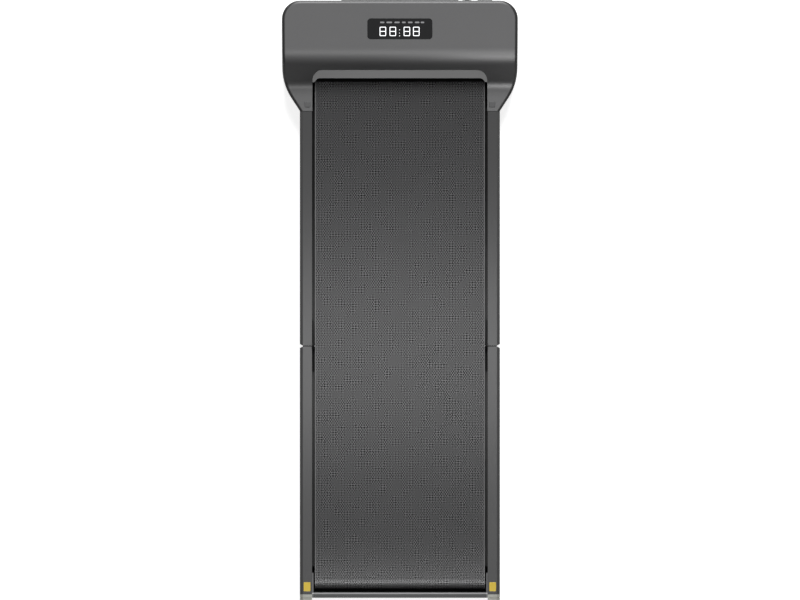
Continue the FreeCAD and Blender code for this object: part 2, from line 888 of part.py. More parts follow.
def make_power_switch():
    """The switch's bezel with its sleeve, and the rocker that tips in it."""
    middle = switch_x
    level = s.switch_height
    pivot_y = head_front - s.rocker_pivot_depth

    def frame(half, rise):
        return rectangle(middle - half, middle + half, level - rise, level + rise)
    sleeve_half = s.bezel_width / 2 - s.bezel_wall
    sleeve_rise = s.bezel_height / 2 - s.bezel_wall
    well_half = sleeve_half - s.sleeve_wall
    well_rise = sleeve_rise - s.sleeve_wall
    face = head_front + s.bezel_thickness
    bezel = new_body("bezel_blank")
    flange = frame(s.bezel_width / 2, s.bezel_height / 2)
    pad(bezel, "XZ_Plane", flange, -face, s.bezel_thickness)
    pad(bezel, "XZ_Plane", frame(sleeve_half, sleeve_rise), -head_front, s.bezel_depth)
    well_depth = s.bezel_thickness + s.bezel_depth - s.sleeve_wall
    pocket(bezel, "XZ_Plane", frame(well_half, well_rise), -face, well_depth, backwards=True)
    bore = rod(
        "rocker_bore", "x", s.rocker_pin_radius + s.running_clearance, s.bezel_width,
        middle - s.bezel_width / 2, pivot_y, level,
    )
    keep("switch_bezel", cut("switch_bezel", bezel, bore))
    half = well_half - s.rocker_gap
    rise = well_rise - s.rocker_end_gap
    back = pivot_y - s.rocker_back_depth
    back_rise = s.rocker_back_height / 2
    tip = head_front + s.rocker_rise
    dip = head_front + s.rocker_dip
    blank = new_body("rocker_blank")
    profile = [
        (back, level - back_rise), (tip - s.rocker_tip * 2, level - rise), (tip, level - rise + s.rocker_tip),
        (dip, level), (tip, level + rise - s.rocker_tip), (tip - s.rocker_tip * 2, level + rise),
        (back, level + back_rise),
    ]
    pad(blank, "YZ_Plane", profile, middle - half, half * 2)
    reach = half + s.rocker_pin_length
    pivot = rod("rocker_pin", "x", s.rocker_pin_radius, reach * 2, middle - reach, pivot_y, level)
    keep("power_rocker", fuse("power_rocker", blank, pivot))


def make_breaker():
    """The overload breaker behind the front wall and its reset button."""
    middle = switch_x
    level = s.breaker_height
    wall_back = head_front - s.head_wall
    body_back = wall_back - s.breaker_body_depth
    face = head_front + s.breaker_collar_length
    can = rod("breaker_can", "y", s.breaker_body_radius, s.breaker_body_depth, middle, body_back, level)
    collar = rod("breaker_collar", "y", s.breaker_collar_radius, face - wall_back, middle, wall_back, level)
    button_front = face + s.breaker_button_proud
    button_back = button_front - s.breaker_button_length
    bore_back = button_back - s.breaker_button_travel - s.seat_clearance
    bore = rod(
        "breaker_bore", "y", s.breaker_button_radius + s.running_clearance,
        face + s.cut_overrun - bore_back, middle, bore_back, level,
    )
    keep("breaker_body", cut("breaker_body", fuse("breaker_blank", can, collar), bore))
    button = rod(
        "breaker_button", "y", s.breaker_button_radius, s.breaker_button_length,
        middle, button_back, level,
    )
    keep("breaker_button", button)


plate_outer = hollow_inner + s.frame_plate_thickness
bearing_outer = plate_outer + s.drive_bearing_thickness
pulley_near = bearing_outer + s.pulley_standoff
pulley_far = pulley_near + s.pulley_width
roller_pulley_radius = belt_round - s.pulley_flange_height


def make_frame_plates():
    """Steel side plates that run from the rails into the head and carry the drive roller."""
    back = seam_y - s.frame_plate_overlap
    front = drive_y + s.frame_plate_front
    low = roller_z - s.frame_plate_height / 2
    high = low + s.frame_plate_height
    nose = s.frame_plate_nose
    outline = [
        (back, low), (front - nose, low), (front, low + nose), (front, high - nose),
        (front - nose, high), (back, high),
    ]
    for name, side in (("left", -1), ("right", 1)):
        left, right = span(side, hollow_inner, plate_outer)
        blank = new_body(f"frame_blank_{name}")
        pad(blank, "YZ_Plane", outline, left, right - left)
        hole = rod(
            "shaft_hole", "x", s.drive_shaft_radius + s.shaft_hole_clearance,
            s.frame_plate_thickness + s.cut_overrun * 2, left - s.cut_overrun, drive_y, roller_z,
        )
        label = f"frame_plate_{name}"
        keep(label, cut(label, blank, hole))


def make_drive_bearings():
    """Two bearing blocks on the outer faces of the frame plates."""
    blocks = []
    half = s.drive_bearing_size / 2
    for side in (-1, 1):
        left, right = span(side, plate_outer, bearing_outer)
        blank = new_body("bearing_blank")
        outline = rectangle(drive_y - half, drive_y + half, roller_z - half, roller_z + half)
        pad(blank, "YZ_Plane", outline, left, right - left)
        corners = [{"Y": y, "Z": z} for y in (drive_y - half, drive_y + half)
                   for z in (roller_z - half, roller_z + half)]
        fillet_at(blank, s.drive_bearing_round, *corners)
        bore = rod(
            "bearing_bore", "x", s.drive_shaft_radius + s.running_clearance,
            s.drive_bearing_thickness + s.cut_overrun * 2, left - s.cut_overrun, drive_y, roller_z,
        )
        blocks.append(cut("bearing_block", blank, bore))
    keep("drive_bearings", group("drive_bearings", *blocks))


def make_drive_roller():
    """The hollow drive roller and the shaft that turns it."""
    half = roller_half
    inner = half - s.roller_end_wall
    blank = rod("drive_roller_blank", "x", s.roller_radius, half * 2, -half, drive_y, roller_z)
    hollow = rod(
        "drive_roller_hollow", "x", s.roller_radius - s.roller_wall, inner * 2, -inner, drive_y, roller_z,
    )
    bore = rod(
        "drive_roller_bore", "x", s.drive_shaft_radius + s.running_clearance, half * 2,
        -half, drive_y, roller_z,
    )
    keep("drive_roller", cut("drive_roller", blank, hollow, bore))
    left = -(pulley_far + s.shaft_end)
    right = bearing_outer + s.shaft_end
    keep("drive_shaft", rod("drive_shaft", "x", s.drive_shaft_radius, right - left, left, drive_y, roller_z))


def pulley_outline(radius, bore):
    """A flat pulley between two flanges."""
    rim = radius + s.pulley_flange_height
    wide = s.pulley_width
    inner = wide - s.pulley_flange
    return [
        (0, bore), (0, rim), (s.pulley_flange, rim), (s.pulley_flange, radius),
        (inner, radius), (inner, rim), (wide, rim), (wide, bore),
    ]


def make_motor():
    """The motor on its saddle, with its shaft and both pulleys."""
    length = s.motor_length
    bore = s.motor_shaft_radius + s.running_clearance
    bell = s.motor_boss_length + s.motor_bell_length
    outline = [
        (0, bore), (0, s.motor_boss_radius), (s.motor_boss_length, s.motor_boss_radius),
        (s.motor_boss_length, s.motor_bell_radius), (bell, s.motor_radius),
        (length - s.motor_bell_length, s.motor_radius), (length, s.motor_bell_radius), (length, bore),
    ]
    left = s.motor_pulley_gap - pulley_near
    keep("motor_housing", turned("motor_housing", outline, left, motor_y, motor_z))
    middle = left + length / 2
    saddle = box(
        "motor_saddle", middle - s.bracket_length / 2, middle + s.bracket_length / 2,
        motor_y - s.bracket_depth / 2, motor_y + s.bracket_depth / 2,
        tray_floor, tray_floor + s.bracket_height,
    )
    bed = rod(
        "motor_bed", "x", s.motor_radius + s.running_clearance, length, left, motor_y, motor_z,
    )
    keep("motor_bracket", cut("motor_bracket", saddle, bed))
    shaft_left = -(pulley_far + s.shaft_end)
    shaft = rod(
        "motor_shaft", "x", s.motor_shaft_radius, left + length - shaft_left,
        shaft_left, motor_y, motor_z,
    )
    keep("motor_shaft", shaft)
    small = pulley_outline(s.motor_pulley_radius, s.motor_shaft_radius + s.running_clearance)
    keep("motor_pulley", turned("motor_pulley", small, -pulley_far, motor_y, motor_z))
    large = pulley_outline(roller_pulley_radius, s.drive_shaft_radius + s.running_clearance)
    keep("roller_pulley", turned("roller_pulley", large, -pulley_far, drive_y, roller_z))


def belt_face(offset, left):
    """The closed outline of a belt round both pulleys, that far off their faces."""
    large = roller_pulley_radius.value + offset.value
    small = s.motor_pulley_radius.value + offset.value
    rise = motor_z.value - roller_z.value
    run = motor_y.value - drive_y.value
    lean = math.atan2(rise, run)
    spread = math.acos((large - small) / math.hypot(run, rise))

    def on_circle(radius, y, z, angle):
        return FreeCAD.Vector(left.value, y + radius * math.cos(angle), z + radius * math.sin(angle))

    def on_large(angle):
        return on_circle(large, drive_y.value, roller_z.value, angle)

    def on_small(angle):
        return on_circle(small, motor_y.value, motor_z.value, angle)
    edges = [
        Part.Arc(on_large(lean + spread), on_large(lean + math.pi), on_large(lean - spread)).toShape(),
        Part.LineSegment(on_large(lean - spread), on_small(lean - spread)).toShape(),
        Part.Arc(on_small(lean - spread), on_small(lean), on_small(lean + spread)).toShape(),
        Part.LineSegment(on_small(lean + spread), on_large(lean + spread)).toShape(),
    ]
    return Part.Face(Part.Wire(edges))


def make_drive_belt():
    """The belt between the motor's pulley and the roller's pulley."""
    left = -pulley_far + s.pulley_flange + s.seat_clearance
    width = s.pulley_width - s.pulley_flange * 2 - s.seat_clearance * 2
    outer = belt_face(s.seat_clearance + s.drive_belt_thickness, left)
    ring = outer.cut(belt_face(s.seat_clearance, left))
    belt = doc.addObject("Part::Feature", "drive_belt")
    belt.Shape = ring.extrude(FreeCAD.Vector(width.value, 0, 0)).Solids[0]
    belt.Placement = FreeCAD.Placement()
    keep("drive_belt", belt)


FIN_COUNT = 9


def make_controller():
    """The speed controller's board on its posts, and the finned heatsink on it."""
    right = head_half - s.controller_from_side
    left = right - s.controller_width
    middle_y = front_y - s.controller_from_front
    back = middle_y - s.controller_depth / 2
    front = middle_y + s.controller_depth / 2
    low = tray_floor + s.controller_post_height
    top = low + s.controller_board_thickness
    slab = box("controller_slab", left, right, back, front, low, top)
    posts = []
    inset = s.controller_post_radius * 2
    for x in (left + inset, right - inset):
        for y in (back + inset, front - inset):
            post = rod(
                "controller_post", "z", s.controller_post_radius, low - tray_floor, x, y, tray_floor,
            )
            posts.append(post)
    keep("controller_board", fuse("controller_board", slab, *posts))
    sink = new_body("controller_heatsink")
    start = left + (s.controller_width - s.heatsink_width) / 2
    pitch = (s.heatsink_width - s.heatsink_fin) / (FIN_COUNT - 1)
    outline = [(start + s.heatsink_width, top), (start, top)]
    for fin in range(FIN_COUNT):
        near = start + pitch * fin
        far = near + s.heatsink_fin
        if fin > 0:
            outline.append((near, top + s.heatsink_base))
        outline.append((near, top + s.heatsink_height))
        outline.append((far, top + s.heatsink_height))
        if fin < FIN_COUNT - 1:
            outline.append((far, top + s.heatsink_base))
    pad(sink, "XZ_Plane", outline, -(middle_y + s.heatsink_depth / 2), s.heatsink_depth)
    keep("controller_heatsink", sink)


def make_wheels():
    """The two transport wheels and their axles."""
    half = s.wheel_width / 2
    web = s.wheel_web / 2
    bore = s.wheel_axle_radius + s.running_clearance
    tread = s.wheel_radius - s.wheel_rim
    right = [
        (half - s.wheel_edge, s.wheel_radius), (half, s.wheel_radius - s.wheel_edge), (half, tread),
        (web, tread), (web, s.wheel_hub_radius), (half, s.wheel_hub_radius), (half, bore),
    ]
    left = [(-across, radius) for across, radius in reversed(right)]
    reach = half + s.wheel_cheek_gap + s.wheel_cheek_thickness
    axles = []
    for name, side in (("left", -1), ("right", 1)):
        middle = side * wheel_x
        label = f"wheel_{name}"
        keep(label, turned(label, right + left, middle, wheel_y, wheel_z))
        axle = rod(
            "wheel_axle", "x", s.wheel_axle_radius, reach * 2, middle - reach, wheel_y, wheel_z,
        )
        axles.append(axle)
    keep("wheel_axles", group("wheel_axles", *axles))


make_power_inlet()
make_power_switch()
make_breaker()
make_frame_plates()
make_drive_bearings()
make_drive_roller()
make_motor()
make_drive_belt()
make_controller()
make_wheels()

# The share of a wall by which the inner end of a 45 degree bevel moves along it.
BEVEL_SHARE = math.tan(math.pi / 8)


def rail_section(side, inset):
    """The rail's closed section, or its hollow when set in by a wall."""
    shift = inset * BEVEL_SHARE
    outer = frame_half - inset
    top = rail_top - inset
    low = rail_low + inset
    points = [
        (rail_inner + inset, top),
        (frame_half - s.rail_chamfer - shift, top),
        (outer, rail_top - s.rail_chamfer - shift),
        (outer, rail_low + s.rail_foot_chamfer + shift),
        (frame_half - s.rail_foot_chamfer - shift, low),
        (rail_inner + inset, low),
    ]
    return [(side * across, up) for across, up in points]


def ledge_section(side):
    """The flange on the rail's inner face that carries the deck board."""
    left, right = span(side, rail_inner - s.ledge_reach, rail_inner)
    return rectangle(left, right, ledge_top - s.ledge_thickness, ledge_top)


def nick_corner(rail, side, end_y, way):
    """Cut the outer corner of a rail's hinge end back at a slant."""
    near = frame_half - s.rail_chamfer
    far_y = end_y + s.rail_nick_length * way
    plan = [(side * near, end_y), (side * frame_half, end_y), (side * frame_half, far_y)]
    pocket(rail, "XY_Plane", plan, rail_top, rail_top - rail_low)


deck_front_y = drive_y - s.roller_radius - s.deck_roller_gap
deck_rear_y = idler_y + s.roller_radius + s.deck_roller_gap
screw_x = (hollow_inner + hollow_outer) / 2


def make_front_rails():
    """Hollow side rails from the hinge to the head, open where the frame plates enter."""
    length = seam_y - front_rail_start
    for name, side in (("left", -1), ("right", 1)):
        label = f"front_rail_{name}"
        rail = new_body(label)
        pad(rail, "XZ_Plane", rail_section(side, ZERO), -seam_y, length)
        nick_corner(rail, side, front_rail_start, 1)
        hollow = rail_section(side, s.rail_wall)
        pocket(rail, "XZ_Plane", hollow, -seam_y, length - s.rail_end_wall, backwards=True)
        pad(rail, "XZ_Plane", ledge_section(side), -seam_y, length)
        keep(label, rail)


def make_rear_rails():
    """Hollow side rails from the hinge to the end caps, with a slot for the idler's axle."""
    length = rear_rail_start - rear_rail_end
    slot_half = s.idler_axle_radius + s.tension_slot_travel / 2
    slot_rise = s.idler_axle_radius + s.seat_clearance
    for name, side in (("left", -1), ("right", 1)):
        label = f"rear_rail_{name}"
        rail = new_body(f"rear_rail_blank_{name}")
        pad(rail, "XZ_Plane", rail_section(side, ZERO), -rear_rail_start, length)
        nick_corner(rail, side, rear_rail_start, -1)
        pocket(rail, "XZ_Plane", rail_section(side, s.rail_wall), -rear_rail_end, length - s.rail_end_wall)
        pad(rail, "XZ_Plane", ledge_section(side), -rear_rail_start, rear_rail_start - deck_rear_y)
        left, right = span(side, rail_inner - s.rail_wall, hollow_inner + s.rail_wall)
        slot = box(
            "idler_slot", left, right, idler_y - slot_half, idler_y + slot_half,
            roller_z - slot_rise, roller_z + slot_rise,
        )
        keep(label, cut(label, rail, slot))


def make_rail_buffers():
    """Rubber buffers on the rear rails' hinge ends, which all but close the gap to the front rails."""
    buffers = []
    for side in (-1, 1):
        left, right = span(side, rail_inner + s.buffer_inset, frame_half - s.rail_chamfer)
        buffer = box(
            "rail_buffer", left, right, rear_rail_start, front_rail_start - s.seat_clearance,
            rail_low + s.buffer_inset, rail_top - s.buffer_inset,
        )
        buffers.append(buffer)
    keep("rail_buffers", group("rail_buffers", *buffers))


def make_deck_board(label, back, front, roller_end):
    """A deck board whose upper edge is eased where the belt comes off the roller."""
    body = new_body(label)
    pad(body, "YZ_Plane", rectangle(back, front, deck_low, deck_top), -deck_half, deck_half * 2)
    fillet_at(body, s.deck_edge_round, {"Y": roller_end, "Z": deck_top})
    keep(label, body)


def spread(start, end, length, shares):
    """Middles of things of one length, spread by shares so that all lie between two places."""
    half = length / 2 if start.value < end.value else -length / 2
    room = end - start - half * 2
    return [start + half + room * share for share in shares]


def make_deck_cushions(label, start, end):
    """Rubber blocks between the rails' ledges and the deck board."""
    blocks = []
    far = deck_half - s.cushion_inset
    for side in (-1, 1):
        left, right = span(side, far - s.cushion_width, far)
        for middle in spread(start, end, s.cushion_length, CUSHION_SHARES):
            block = box(
                "deck_cushion", left, right, middle - s.cushion_length / 2, middle + s.cushion_length / 2,
                ledge_top, deck_low,
            )
            blocks.append(block)
    keep(label, group(label, *blocks))


def make_cross_tubes(label, start, end):
    """Hollow tubes that tie the two rails together between the runs of the belt."""
    tubes = []
    top = ledge_top - s.ledge_thickness
    low = belt_low + s.belt_thickness + s.tube_belt_gap
    wall = s.tube_wall
    for middle in spread(start, end, s.tube_depth, TUBE_SHARES):
        back = middle - s.tube_depth / 2
        front = back + s.tube_depth
        solid = box("cross_solid", -rail_inner, rail_inner, back, front, low, top)
        hollow = box(
            "cross_hollow", -rail_inner, rail_inner, back + wall, front - wall, low + wall, top - wall,
        )
        tubes.append(cut("cross_tube", solid, hollow))
    keep(label, group(label, *tubes))


def make_bottom_plate(label, start, length, back, front):
    """The sheet that closes the underside, with a row of slots."""
    body = new_body(label)
    plan = rectangle(-rail_inner, rail_inner, back, front)
    pad(body, "XY_Plane", plan, s.foot_height, s.plate_thickness)
    half = s.plate_slot_length / 2
    above = s.foot_height + s.plate_thickness
    for share in SLOT_SHARES:
        middle = start + length * share
        slot = rectangle(-half, half, middle - s.plate_slot_width / 2, middle + s.plate_slot_width / 2)
        pocket(body, "XY_Plane", slot, above, s.plate_thickness)
    keep(label, body)


def make_feet(label, places):
    """Tapered rubber feet on the floor."""
    feet = []
    for x, y in places:
        foot = doc.addObject("Part::Cone", "foot")
        bind(foot, "Radius1", s.foot_radius - s.foot_taper)
        bind(foot, "Radius2", s.foot_radius)
        bind(foot, "Height", s.foot_height)
        place(foot, x, y)
        feet.append(foot)
    keep(label, group(label, *feet))


def make_front_deck():
    start = hinge_y
    length = seam_y - hinge_y
    make_front_rails()
    make_deck_board("front_deck_board", hinge_y + s.deck_hinge_gap, deck_front_y, deck_front_y)
    make_deck_cushions("front_deck_cushions", hinge_y + s.deck_hinge_gap, seam_y)
    make_cross_tubes("front_cross_tubes", front_rail_start, seam_y)
    make_bottom_plate("front_bottom_plate", start, length, front_rail_start, seam_y)
    places = [(side * foot_x, start + length * share) for side in (-1, 1) for share in FOOT_SHARES]
    for side in (-1, 1):
        places.append((side * (head_half - s.head_foot_from_side), front_y - s.head_foot_from_front))
    make_feet("front_feet", places)


def make_rear_deck():
    start = hinge_y
    length = rear_rail_end - hinge_y
    make_rear_rails()
    make_rail_buffers()
    make_deck_board("rear_deck_board", deck_rear_y, hinge_y - s.deck_hinge_gap, deck_rear_y)
    make_deck_cushions("rear_deck_cushions", hinge_y - s.deck_hinge_gap, deck_rear_y)
    make_cross_tubes("rear_cross_tubes", rear_rail_start, deck_rear_y)
    make_bottom_plate("rear_bottom_plate", start, length, rear_rail_end, rear_rail_start)
    places = [(side * foot_x, start + length * share) for side in (-1, 1) for share in FOOT_SHARES]
    make_feet("rear_feet", places)


foot_x = rail_inner + s.rail_width / 2 - s.rail_foot_chamfer / 2
leaf_far = rail_inner - s.leaf_clearance
leaf_near = leaf_far - s.leaf_thickness
ear_far = leaf_near - s.seat_clearance
ear_near = ear_far - s.leaf_thickness


def leaf_blank(name, way, left, right):
    """A hinge leaf that runs from its round ear along the rail, to the front or to the rear."""
    plate = new_body(f"{name}_plate")
    low = ledge_top + s.leaf_ledge_gap
    outline = [
        (hinge_y, hinge_z - s.seat_clearance),
        (hinge_y + way * s.leaf_length, hinge_z - s.leaf_top_drop),
        (hinge_y + way * s.leaf_length, low),
        (hinge_y + way * s.leaf_ear_radius, low),
        (hinge_y, hinge_z - s.leaf_ear_radius),
    ]
    pad(plate, "YZ_Plane", outline, left, right - left)
    ear = rod(f"{name}_ear", "x", s.leaf_ear_radius, right - left, left, hinge_y, hinge_z)
    return plate, ear


def make_hinges():
    """The leaves of both hinges and the pins that join them."""
    pins = []
    for name, side in (("left", -1), ("right", 1)):
        bore_left, bore_right = span(side, ear_near - s.seat_clearance, leaf_far + s.seat_clearance)

        def bore():
            return rod(
                "hinge_bore", "x", s.hinge_pin_radius + s.running_clearance, bore_right - bore_left,
                bore_left, hinge_y, hinge_z,
            )
        label = f"front_hinge_leaf_{name}"
        front = fuse(f"{label}_blank", *leaf_blank(label, 1, *span(side, leaf_near, leaf_far)))
        keep(label, cut(label, front, bore()))
        label = f"rear_hinge_leaf_{name}"
        plate, ear = leaf_blank(label, -1, *span(side, ear_near, ear_far))
        left, right = span(side, ear_far, leaf_far)
        spacer = box(
            f"{label}_spacer", left, right,
            hinge_y - s.leaf_length, hinge_y - s.leaf_ear_radius - s.hinge_gap,
            ledge_top + s.leaf_ledge_gap, hinge_z - s.leaf_top_drop,
        )
        rear = fuse(f"{label}_blank", plate, ear, spacer)
        keep(label, cut(label, rear, bore()))
        left, right = span(side, ear_near, leaf_far)
        pins.append(rod("hinge_pin", "x", s.hinge_pin_radius, right - left, left, hinge_y, hinge_z))
    keep("hinge_pins", group("hinge_pins", *pins))


def make_running_belt(label, roller_y, end_y):
    """One half of the running belt: the strip round its roller, cut at the hinge."""
    low_y, high_y = (end_y, roller_y) if roller_y.value > end_y.value else (roller_y, end_y)
    width = s.belt_width

    def loop(name, radius):
        runs = box(f"{name}_runs", -belt_half, belt_half, low_y, high_y, roller_z - radius, roller_z + radius)
        bend = rod(f"{name}_bend", "x", radius, width, -belt_half, roller_y, roller_z)
        return fuse(name, runs, bend)
    outer = loop(f"{label}_outer", belt_round)
    inner = loop(f"{label}_inner", belt_bend)
    keep(label, cut(label, outer, inner))


def make_end_caps():
    """The rails' end caps: a plug, a groove round the cap and a bore for the tension screw."""
    head_seat = rear_y + s.tension_head_sink + s.tension_head_length + s.running_clearance
    for name, side in (("left", -1), ("right", 1)):
        label = f"rear_end_cap_{name}"
        blank = new_body(f"cap_blank_{name}")
        pad(blank, "XZ_Plane", rail_section(side, ZERO), -rear_rail_end, s.cap_length)
        fillet_at(blank, s.cap_round, {"X": side * frame_half, "Y": rear_y})
        plug = rail_section(side, s.rail_wall + s.seat_clearance)
        pad(blank, "XZ_Plane", plug, -rear_rail_end, s.cap_plug_length, backwards=True)
        core = new_body(f"cap_core_{name}")
        pad(core, "XZ_Plane", rail_section(side, s.cap_groove_depth), -rear_rail_end, s.cap_length)
        groove_y = rear_y + s.cap_groove_from_end
        left, right = span(side, rail_inner - s.cut_overrun, frame_half + s.cut_overrun)
        band = box(
            f"cap_band_{name}", left, right, groove_y, groove_y + s.cap_groove_width,
            rail_low - s.cut_overrun, rail_top + s.cut_overrun,
        )
        groove = cut(f"cap_groove_{name}", band, core)
        bore = rod(
            "screw_bore", "y", s.tension_screw_radius + s.seat_clearance,
            s.cap_length + s.cap_plug_length + s.cut_overrun, side * screw_x, rear_y, roller_z,
        )
        sink = rod(
            "screw_sink", "y", s.tension_head_radius + s.seat_clearance,
            head_seat - rear_y + s.cut_overrun, side * screw_x, rear_y - s.cut_overrun, roller_z,
        )
        keep(label, cut(label, blank, groove, bore, sink))


def make_rear_guard():
    """The bar behind the idler roller, with an arm along each end of the roller."""
    body = new_body("rear_guard")
    half = rail_inner - s.seat_clearance
    front = guard_front
    back = front - s.guard_depth
    top = rail_top - s.guard_drop
    low = s.foot_height + s.plate_thickness + s.guard_floor_gap
    pad(body, "XY_Plane", rectangle(-half, half, back, front), low, top - low)
    chamfer_at(body, s.guard_bevel, {"Y": front, "Z": top})
    for side in (-1, 1):
        left, right = span(side, half - s.guard_arm_thickness, half)
        arm = rectangle(left, right, front - s.guard_depth / 2, front + s.guard_arm_length)
        pad(body, "XY_Plane", arm, top - s.guard_arm_height, s.guard_arm_height)
    keep("rear_guard", body)


def make_idler():
    """The idler roller on its bearings, and the axle that holds it."""
    half = roller_half
    hollow_radius = s.roller_radius - s.roller_wall
    blank = rod("idler_blank", "x", s.roller_radius, half * 2, -half, idler_y, roller_z)
    hollow = rod("idler_hollow", "x", hollow_radius, half * 2, -half, idler_y, roller_z)
    keep("idler_roller", cut("idler_roller", blank, hollow))
    rings = []
    for side in (-1, 1):
        left, right = span(side, half - s.idler_bearing_width, half)
        ring = rod(
            "bearing_ring", "x", hollow_radius - s.running_clearance, right - left,
            left, idler_y, roller_z,
        )
        eye = rod(
            "bearing_eye", "x", s.idler_axle_radius + s.running_clearance, right - left,
            left, idler_y, roller_z,
        )
        rings.append(cut("idler_bearing", ring, eye))
    keep("idler_bearings", group("idler_bearings", *rings))
    reach = hollow_inner + s.idler_axle_reach
    keep("idler_axle", rod("idler_axle", "x", s.idler_axle_radius, reach * 2, -reach, idler_y, roller_z))


def make_tensioners():
    """The sliding blocks that hold the idler's axle, and the screws that pull them."""
    blocks = []
    block_front = idler_y + s.tension_block_nose
    block_back = rear_rail_end + s.cap_plug_length + s.tension_block_gap
    rise = s.tension_block_height / 2
    head_back = rear_y + s.tension_head_sink
    head_front_y = head_back + s.tension_head_length
    screw_end = idler_y - s.idler_axle_radius - s.seat_clearance * 2
    for name, side in (("left", -1), ("right", 1)):
        left, right = span(side, hollow_inner + s.seat_clearance, hollow_outer - s.seat_clearance)
        solid = box("tension_solid", left, right, block_back, block_front, roller_z - rise, roller_z + rise)
        eye = rod(
            "tension_eye", "x", s.idler_axle_radius + s.running_clearance, right - left,
            left, idler_y, roller_z,
        )
        thread = rod(
            "tension_thread", "y", s.tension_screw_radius + s.running_clearance,
            idler_y - block_back, side * screw_x, block_back, roller_z,
        )
        blocks.append(cut("tension_block", solid, eye, thread))
        label = f"tension_screw_{name}"
        shank = rod(
            "screw_shank", "y", s.tension_screw_radius, screw_end - head_front_y,
            side * screw_x, head_front_y, roller_z,
        )
        head = rod(
            "screw_head", "y", s.tension_head_radius, s.tension_head_length,
            side * screw_x, head_back, roller_z,
        )
        socket = doc.addObject("Part::Prism", "screw_socket")
        socket.Polygon = 6
        bind(socket, "Circumradius", s.tension_socket_radius)
        bind(socket, "Height", s.tension_socket_depth)
        turn_to(socket, "y")
        place(socket, side * screw_x, head_back, roller_z)
        keep(label, cut(label, fuse(f"{label}_blank", shank, head), socket))
    keep("tension_blocks", group("tension_blocks", *blocks))


make_front_deck()
make_rear_deck()
make_hinges()
make_running_belt("running_belt_front", drive_y, hinge_y + s.belt_gap / 2)
make_running_belt("running_belt_rear", idler_y, hinge_y - s.belt_gap / 2)
make_end_caps()
make_rear_guard()
make_idler()
make_tensioners()


def write_parts():
    """Check every object and sub-part, then write one file for each node."""
    doc.recompute()
    for thing in doc.Objects:
        if "Invalid" in thing.State or "Error" in thing.State:
            raise RuntimeError(f"{thing.Label} failed: {thing.State}")
    for node in nodes:
        if node.Shape.isNull() or not node.Shape.isValid():
            raise RuntimeError(f"{node.Label} has no valid shape")
        if not node.Shape.Solids:
            raise RuntimeError(f"{node.Label} has no solid")
    os.makedirs("parts", exist_ok=True)
    for node in nodes:
        node.Shape.exportStep(os.path.join("parts", f"{node.Label}.step"))
        print(node.Label, len(node.Shape.Solids), round(node.Shape.Volume))


write_parts()
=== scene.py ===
"""Dresses the folding walking pad: belt, display marks, tiles, pads, seals, screws, finishes and studio."""
import json
import math

import bpy
from bpy.props import FloatProperty, FloatVectorProperty, PointerProperty
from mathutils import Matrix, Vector


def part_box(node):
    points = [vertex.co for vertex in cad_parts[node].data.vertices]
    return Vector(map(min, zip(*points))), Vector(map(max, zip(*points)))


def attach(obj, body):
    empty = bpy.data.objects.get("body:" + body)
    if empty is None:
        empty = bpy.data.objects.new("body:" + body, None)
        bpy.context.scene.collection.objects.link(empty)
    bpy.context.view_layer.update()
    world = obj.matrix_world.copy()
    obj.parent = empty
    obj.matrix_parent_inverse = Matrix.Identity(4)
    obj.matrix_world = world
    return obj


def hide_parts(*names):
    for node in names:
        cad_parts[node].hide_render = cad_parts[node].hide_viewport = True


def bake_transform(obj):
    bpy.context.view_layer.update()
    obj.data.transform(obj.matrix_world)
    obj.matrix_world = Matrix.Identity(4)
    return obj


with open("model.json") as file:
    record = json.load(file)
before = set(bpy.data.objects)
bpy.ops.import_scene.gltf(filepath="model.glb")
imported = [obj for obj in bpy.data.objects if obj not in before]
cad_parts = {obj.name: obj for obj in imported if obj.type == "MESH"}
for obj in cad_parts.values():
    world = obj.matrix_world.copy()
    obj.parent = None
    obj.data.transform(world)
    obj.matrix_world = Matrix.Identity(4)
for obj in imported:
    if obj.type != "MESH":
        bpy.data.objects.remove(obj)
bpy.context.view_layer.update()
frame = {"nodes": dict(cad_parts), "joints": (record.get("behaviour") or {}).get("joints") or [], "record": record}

bl_info = {
    "name": "Walking pad",
    "version": (1, 0, 0),
    "blender": (4, 5, 0),
    "location": "View3D > Sidebar > Walking pad",
    "description": "Builds the visible pieces and finishes of a folding walking pad",
    "category": "Add Mesh",
}

BELT_LOW, BELT_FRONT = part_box("running_belt_front")
BELT_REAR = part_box("running_belt_rear")[0]
WINDOW_LOW, WINDOW_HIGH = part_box("display_window")
RAIL_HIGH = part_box("front_rail_right")[1]
LIP_LOW, LIP_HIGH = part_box("mouth_trim")
HINGE = Vector(next(joint["pos_m"] for joint in frame["joints"] if joint["name"] == "deck_fold"))


def length(name, description, default):
    """A length that a user may change, in metres."""
    return FloatProperty(name=name, description=description, default=default, min=0.0, unit="LENGTH")


def colour(name, description, default):
    """A finish's colour that a user may change."""
    return FloatVectorProperty(
        name=name, description=description, default=(*default, 1.0), size=4,
        min=0.0, max=1.0, subtype="COLOR",
    )


